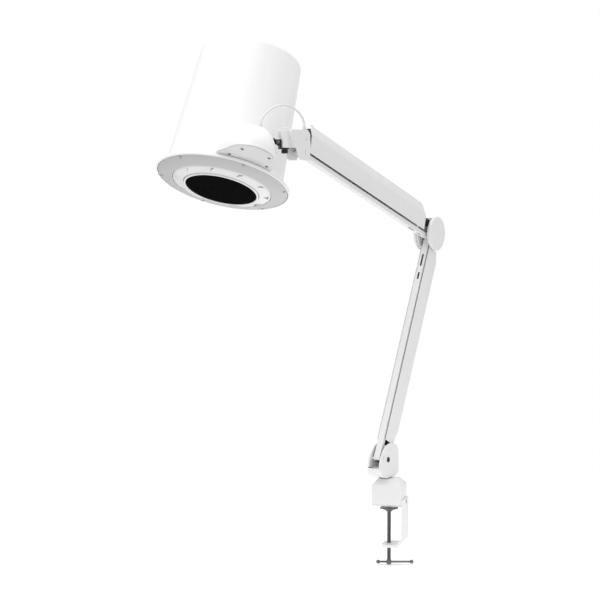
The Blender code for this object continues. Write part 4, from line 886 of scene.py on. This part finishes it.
def build_arms():
    """Both arms' covers, bars and springs."""
    near = finer([(0.0, 0.0115), (0.012, 0.0060), (0.030, 0.0)])
    far = finer([(0.0, 0.0100), (0.006, 0.0040), (0.014, 0.0)])
    cover = arm_cover("lower_sleeve", LOWER, LOWER_COVER_ENDS, near, far, LOWER_OPEN)
    dress(cover, "lower_arm", "white_paint", "lower_cover", smooth=24)
    near = finer([(0.0, 0.0150), (0.003, 0.0100), (0.008, 0.0040), (0.015, 0.0)])
    far = finer([(0.0, 0.0045), (0.002, 0.0020), (0.005, 0.0)])
    cover = arm_cover("upper_sleeve", UPPER, UPPER_COVER_ENDS, near, far, UPPER_OPEN)
    dress(cover, "upper_arm", "white_paint", "upper_cover", smooth=24)
    spot = UPPER @ shift(UPPER_COVER_ENDS[1] - COVER_SCREW_INSET, 0, COVER_RIDGE + GAP) @ spin(180, "X")
    screw("cover_tip_screw", spot, "upper_arm", "cover_screw", 0.0026, 0.0016, 0.003)
    arm_bar("lower_tie", "lower_bar", "lower_link", LOWER_BAR, LOWER_LENGTH,
            [(0.340, 0.354), (0.366, 0.390)])
    arm_bar("upper_tie", "upper_bar", "upper_link", UPPER_BAR, UPPER_LENGTH,
            [(0.020, 0.034), (0.046, 0.070)])
    coil("lower_coil", "lower_spring", "lower_arm", LOWER)
    coil("upper_coil", "upper_spring", "upper_arm", UPPER)
    pin("tip_beam_pin", "tip", TIP, (0, 0), kind="white_paint")
    pin("tip_bar_pin", "tip", TIP, UPPER_LINK, kind="white_paint")


# ======== head
def shell_line(wall, extra=0.0):
    """Outer line of the bucket from its top down to where the rim begins."""
    radius = SHELL_TOP_RADIUS - wall + extra
    top = SHELL_TOP - wall + extra
    fillet = SHELL_FILLET - wall
    points = []
    for step in range(9):
        angle = math.radians(90 * step / 8)
        points.append((radius - fillet + fillet * math.sin(angle), top - fillet + fillet * math.cos(angle)))
    base = SHELL_BASE_RADIUS - wall + extra
    points.append((base, SHELL_BASE_Z))
    flare = RIM_RADIUS - SHELL_BASE_RADIUS
    low = [(0.0, 0.0), (0.10, 0.0065), (0.28, 0.0115), (0.55, 0.0150), (0.85, 0.0175)]
    for (share_a, drop_a), (share_b, drop_b) in zip(low, low[1:]):
        for step in (0.5, 1.0):
            share = share_a + (share_b - share_a) * step
            drop = drop_a + (drop_b - drop_a) * step
            points.append((base + flare * share, SHELL_BASE_Z - drop - 0.6 * wall))
    return points


def build_shell():
    """The tapered bucket with its flared rim and vented top."""
    rim = [(RIM_RADIUS - 0.0008, RIM_Z + 0.0052), (RIM_RADIUS - 0.0002, RIM_Z + 0.0042),
           (RIM_RADIUS, RIM_Z + 0.0030), (RIM_RADIUS, RIM_Z + 0.0010), (RIM_RADIUS - 0.0003, RIM_Z + 0.0002),
           (RIM_RADIUS - 0.0008, RIM_Z), (RIM_RADIUS - SHELL_WALL, RIM_Z),
           (RIM_RADIUS - SHELL_WALL - 0.0005, RIM_Z + 0.0030)]
    profile = [(0, SHELL_TOP)] + shell_line(0.0) + rim + shell_line(SHELL_WALL)[::-1]
    profile += [(0, SHELL_TOP - SHELL_WALL)]
    shell = make("bucket", turned(profile, 144), HEAD)
    outline = slot_outline(0.030, 0.066, 0.0022)
    for index in range(VENT_COUNT):
        vent = loft([[(x, y, z) for x, y in outline] for z in (SHELL_TOP - 0.01, SHELL_TOP + 0.01)])
        cut(shell, vent, HEAD @ spin(360 * index / VENT_COUNT, "Z"))
    dress(shell, "head", "white_plastic", "head_shell", smooth=35)


def bucket_tool():
    """The bucket's outside, grown by the gap, as a cutter."""
    grown = shell_line(0.0, GAP)
    grown += [(RIM_RADIUS + GAP, RIM_Z + 0.0050 + GAP), (RIM_RADIUS + GAP, -0.02)]
    return turned([(0, SHELL_TOP + 0.01)] + grown + [(0, -0.02)], 144)


def housing_outline(scale, height, shrink=0.0, steps=40):
    """One level outline of the joint housing."""
    half = HOUSING_HALF * scale - shrink
    reach = HOUSING_REACH * scale - shrink
    points = []
    for step in range(steps + 1):
        angle = math.pi * step / steps
        points.append((half * math.cos(angle), HOUSING_MIDDLE + reach * math.sin(angle), height))
    skirt = HOUSING_SKIRT * scale - shrink
    points += [(-skirt, HOUSING_MIDDLE - HOUSING_STEP, height), (-skirt, HOUSING_ROOT, height)]
    points += [(skirt, HOUSING_ROOT, height), (skirt, HOUSING_MIDDLE - HOUSING_STEP, height)]
    return points


def build_housing():
    """The domed joint housing with its flat cover and screws."""
    rise = HOUSING_TOP - HOUSING_BASE
    levels = [(1.0, 0.0), (1.0, 0.20)]
    for step in range(1, 13):
        angle = math.radians(81.0 * step / 12)
        levels.append((math.cos(angle) ** 0.86, 0.20 + 0.80 * math.sin(angle) ** 1.25 / math.sin(
            math.radians(81.0)) ** 1.25))
    rings = [housing_outline(scale, HOUSING_BASE + rise * share) for scale, share in levels]
    housing = make("joint_lobe", loft(rings), HEAD)
    below = HOUSING_BASE - 0.01
    depth = rise + 0.0075
    inner = ((1.0, 0.0), (1.0, 0.25), (0.95, 0.45), (0.84, 0.65), (0.66, 0.82), (0.42, 0.94))
    hollow = [housing_outline(scale, below + depth * share, 0.0027) for scale, share in inner]
    cut(housing, loft(hollow), HEAD)
    cut(housing, bucket_tool(), HEAD)
    spigot = moved(rod(SPIGOT_RADIUS + GAP, -0.06, 0.0), spin(90, "Y"))
    cut(housing, spigot, HEAD @ shift(0, HOUSING_MIDDLE, STUB_DROP))
    dress(housing, "head", "white_plastic", "joint_housing", smooth=38)
    top = HOUSING_BASE - GAP
    rings = [housing_outline(1.0, height, inset) for height, inset in
             ((top - COVER_PLATE, 0.0012), (top - COVER_PLATE + 0.0003, 0.0008), (top, 0.0006))]
    cover = make("joint_plate", loft(rings), HEAD)
    cut(cover, bucket_tool(), HEAD)
    for index, (x, y) in enumerate(COVER_SCREWS):
        at = HEAD @ shift(x, HOUSING_MIDDLE + y, top - COVER_PLATE)
        cut(cover, rod(SCREW_HEAD_RADIUS + 0.0006, -0.001, 0.0004, 32), at)
        screw("plate_screw_%d" % (index + 1), at @ shift(0, 0, -GAP), "head", "cover_screw_%d" % (index + 1))
    dress(cover, "head", "grey_plastic", "joint_cover", smooth=35)
    cover.data.materials[0] = PLATE_GREY


POCKET_TURN = 18.0
POCKET_LEAN = 0.55       # the pocket's ridge, as a share of its half width
POCKET_HALF = 0.0125
SHADED_WALL_SLANT = 0.12        # a pocket's wall faces sideways at least this much to take the painted shade


def build_rings():
    """The bottom ring, the faceted ring light with painted shade on one wall of each pocket, the lip and the
    grille.
    """
    edge = RIM_RADIUS - SHELL_WALL - 0.0010
    slope = RIM_Z / (edge - RING_INNER)
    lip_top = 0.0075
    ring = [(RING_INNER, 0.0006), (RING_INNER + 0.0002, 0.0001), (RING_INNER + 0.0007, 0.0002),
            (edge - 0.0004, RIM_Z), (edge, RIM_Z + 0.0004), (edge, RIM_Z + RING_THICK),
            (RING_INNER + 0.002, RING_THICK + 0.0006), (RING_INNER + 0.002, lip_top), (RING_INNER, lip_top)]
    dress(make("underside_ring", turned(ring, 144), HEAD), "head", "grey_plastic", "bottom_ring", smooth=30)
    tilt = math.degrees(math.atan(slope))
    rise = (RING_SCREW_CIRCLE - RING_INNER) * slope
    for index in range(6):
        spot = spin(90 + 60 * index, "Z") @ shift(RING_SCREW_CIRCLE, 0, rise)
        at = HEAD @ spot @ spin(-tilt, "Y") @ shift(0, 0, -GAP)
        number = index + 1
        screw("underside_screw_%d" % number, at, "head", "ring_screw_%d" % number, bright=True)

    inner_z = GRILLE_Z + 0.0010
    top = 0.0036
    profile = [(LIGHT_OUTER, 0.0010), (LIGHT_OUTER - 0.0006, 0.0003), (LIGHT_OUTER - 0.0016, 0.0002),
               (LIGHT_OUTER - 0.0022, -0.0006), (LIGHT_OUTER - 0.004, -0.0010),
               (LIGHT_INNER + 0.0006, inner_z), (LIGHT_INNER, inner_z + 0.0006), (LIGHT_INNER, top),
               (LIGHT_OUTER, top)]
    cover = make("ring_lens", turned(profile, 144), HEAD)
    reach_in = LIGHT_INNER + 0.0035
    reach_out = LIGHT_OUTER - 0.0036
    for index in range(POCKETS):
        shape = bmesh.new()
        low = -0.0120
        deep = -0.0010 + POCKET_DEPTH
        apex = shape.verts.new((reach_in, 0.0, -0.0042))
        left = shape.verts.new((reach_out, -POCKET_HALF, -0.0012))
        right = shape.verts.new((reach_out, POCKET_HALF, -0.0012))
        ridge = shape.verts.new((reach_out, POCKET_LEAN * POCKET_HALF, deep))
        below = [shape.verts.new((v.co.x, v.co.y, low)) for v in (apex, left, right)]
        for corners in ((apex, left, ridge), (apex, ridge, right), (left, below[1], below[2], right, ridge),
                        (apex, below[0], below[1], left), (apex, right, below[2], below[0]), below):
            shape.faces.new(corners)
        cut(cover, shape, HEAD @ spin(POCKET_TURN + 360 * index / POCKETS, "Z"))
    dress(cover, "head", "light_plastic", "light_cover", smooth=20)
    # The pocket walls that face one way get the darker grey: painted shade in the pockets.
    cover.data.materials.append(POCKET_PAINTED_SHADE)
    local = HEAD.inverted()
    for face in cover.data.polygons:
        spot = local @ face.center
        facing = local.to_3x3() @ face.normal
        side = (facing.y * spot.x - facing.x * spot.y) / math.hypot(spot.x, spot.y)
        if abs(side) > SHADED_WALL_SLANT and side * POCKET_LEAN < 0 and facing.z < 0.2:
            face.material_index = 1

    lip_in = GRILLE_RADIUS + GAP
    low = GRILLE_Z - 0.0012
    out = LIP_RADIUS - 0.0003
    lip = [(lip_in, low + 0.0006), (lip_in + 0.0003, low + 0.0001), (lip_in + 0.0008, low),
           (out - 0.0012, low), (out - 0.0005, low + 0.0003), (out, low + 0.0010), (out, low + LIP_DEPTH),
           (lip_in, low + LIP_DEPTH)]
    dress(make("mesh_lip", turned(lip, 144), HEAD), "head", "light_plastic", "grille_lip", smooth=35)
    build_grille()




def build_grille():
    """Black hexagonal mesh with a flat edge band."""
    shape = bmesh.new()
    outer = MESH_PITCH / math.sqrt(3)
    inner = outer - MESH_BAR / math.sqrt(3)
    band = 0.0026
    rows = int(GRILLE_RADIUS / (MESH_PITCH * 0.866)) + 1
    low = GRILLE_Z
    high = GRILLE_Z + GRILLE_THICK * 0.75
    for row in range(-rows, rows + 1):
        y = row * MESH_PITCH * math.sqrt(3) / 2
        for column in range(-rows - 1, rows + 2):
            x = (column + 0.5 * (row % 2)) * MESH_PITCH
            if math.hypot(x, y) > GRILLE_RADIUS - band + 0.0004:
                continue
            loops = []
            for radius, z in ((outer, low), (inner, low), (inner, high), (outer, high)):
                angles = [math.radians(30 + 60 * corner) for corner in range(6)]
                loops.append([shape.verts.new((x + radius * math.cos(a), y + radius * math.sin(a), z))
                              for a in angles])
            for first, second in zip(loops, loops[1:]):
                for index in range(6):
                    after = (index + 1) % 6
                    shape.faces.new((first[index], first[after], second[after], second[index]))
    bmesh.ops.remove_doubles(shape, verts=shape.verts, dist=0.00001)
    grille = make("hex_mesh", shape, HEAD)
    dress(grille, "head", "black_plastic", "grille", smooth=20)
    edge = turned([(GRILLE_RADIUS - band, low - 0.0001), (GRILLE_RADIUS, low - 0.0001),
                   (GRILLE_RADIUS, GRILLE_Z + GRILLE_THICK), (GRILLE_RADIUS - band, GRILLE_Z + GRILLE_THICK)],
                  96)
    dress(make("mesh_band", edge, HEAD), "head", "black_plastic", smooth=30)


def build_inside():
    """The fan's rotor and the pleated filter."""
    hub_low = 0.0
    hub_top = FAN_HEIGHT - 0.004 - 0.002 - 0.010 - 0.0010
    hub = [(0, hub_low), (FAN_HUB - 0.002, hub_low), (FAN_HUB, hub_low + 0.002), (FAN_HUB, hub_top - 0.001),
           (FAN_HUB - 0.001, hub_top), (0, hub_top)]
    at = HEAD @ shift(0, 0, FAN_BASE)
    rotor = make("impeller", turned(hub, 48), at)
    reach = FAN_DUCT - FAN_DUCT_WALL - 0.0015
    for index in range(FAN_BLADES):
        rings = []
        for step in range(7):
            share = step / 6
            radius = FAN_HUB - 0.003 + (reach - FAN_HUB + 0.003) * share
            lean = math.radians(48 - 22 * share)
            sweep = 0.10 * share * share
            ring = []
            for side, thick in ((-1, 0), (0, 0.0009), (1, 0), (0, -0.0007)):
                along = 0.0100 * side
                y = along * math.cos(lean) - thick * math.sin(lean)
                z = 0.0115 + along * math.sin(lean) + thick * math.cos(lean)
                turn = y / radius + sweep
                ring.append((radius * math.cos(turn), radius * math.sin(turn), z))
            rings.append(ring)
        cut(rotor, loft(rings), at @ spin(360 * index / FAN_BLADES, "Z"), "UNION")
    dress(rotor, "fan", "black_plastic", "fan_rotor", smooth=40)

    shape = bmesh.new()
    rows = []
    for radius_shift, z in ((0, FILTER_BASE), (0, FILTER_TOP), (-0.0016, FILTER_TOP), (-0.0016, FILTER_BASE)):
        row = []
        for index in range(2 * PLEATS):
            radius = (FILTER_OUTER if index % 2 else FILTER_INNER + 0.0016) + radius_shift
            angle = math.pi * index / PLEATS
            row.append(shape.verts.new((radius * math.cos(angle), radius * math.sin(angle), z)))
        rows.append(row)
    for first, second in zip(rows, rows[1:] + rows[:1]):
        for index in range(2 * PLEATS):
            after = (index + 1) % (2 * PLEATS)
            shape.faces.new((first[index], first[after], second[after], second[index]))
    dress(make("pleats", shape, HEAD), "head", "filter_paper", "filter", smooth=20)


def dress_cad_nodes():
    """Finishes and soft edges for the CAD nodes that stay in view."""
    edges = {"clamp_strap": 0.0008, "tip_bracket": 0.0006, "yoke": 0.0003, "tilt_tongue": 0.0003,
             "head_swivel_nut": 0.0004, "lower_beam": 0.0003, "upper_beam": 0.0003, "swivel_bush": 0.0003,
             "tilt_bolt": 0.0003, "light_board": 0.0002, "fan_frame": 0.0003}
    slots = {row["node"]: row["material_slot"] for row in frame["record"]["subparts"]}
    for name, node in NODES.items():
        node.data.materials.clear()
        node.data.materials.append(FINISH[slots[name]])
        if name in edges:
            soften(node, edges[name])


build_stage()
build_cable()
dress_cad_nodes()
build_clamp()
build_knuckle()
build_elbow()
build_arms()
build_shell()
build_housing()
build_rings()
build_inside()
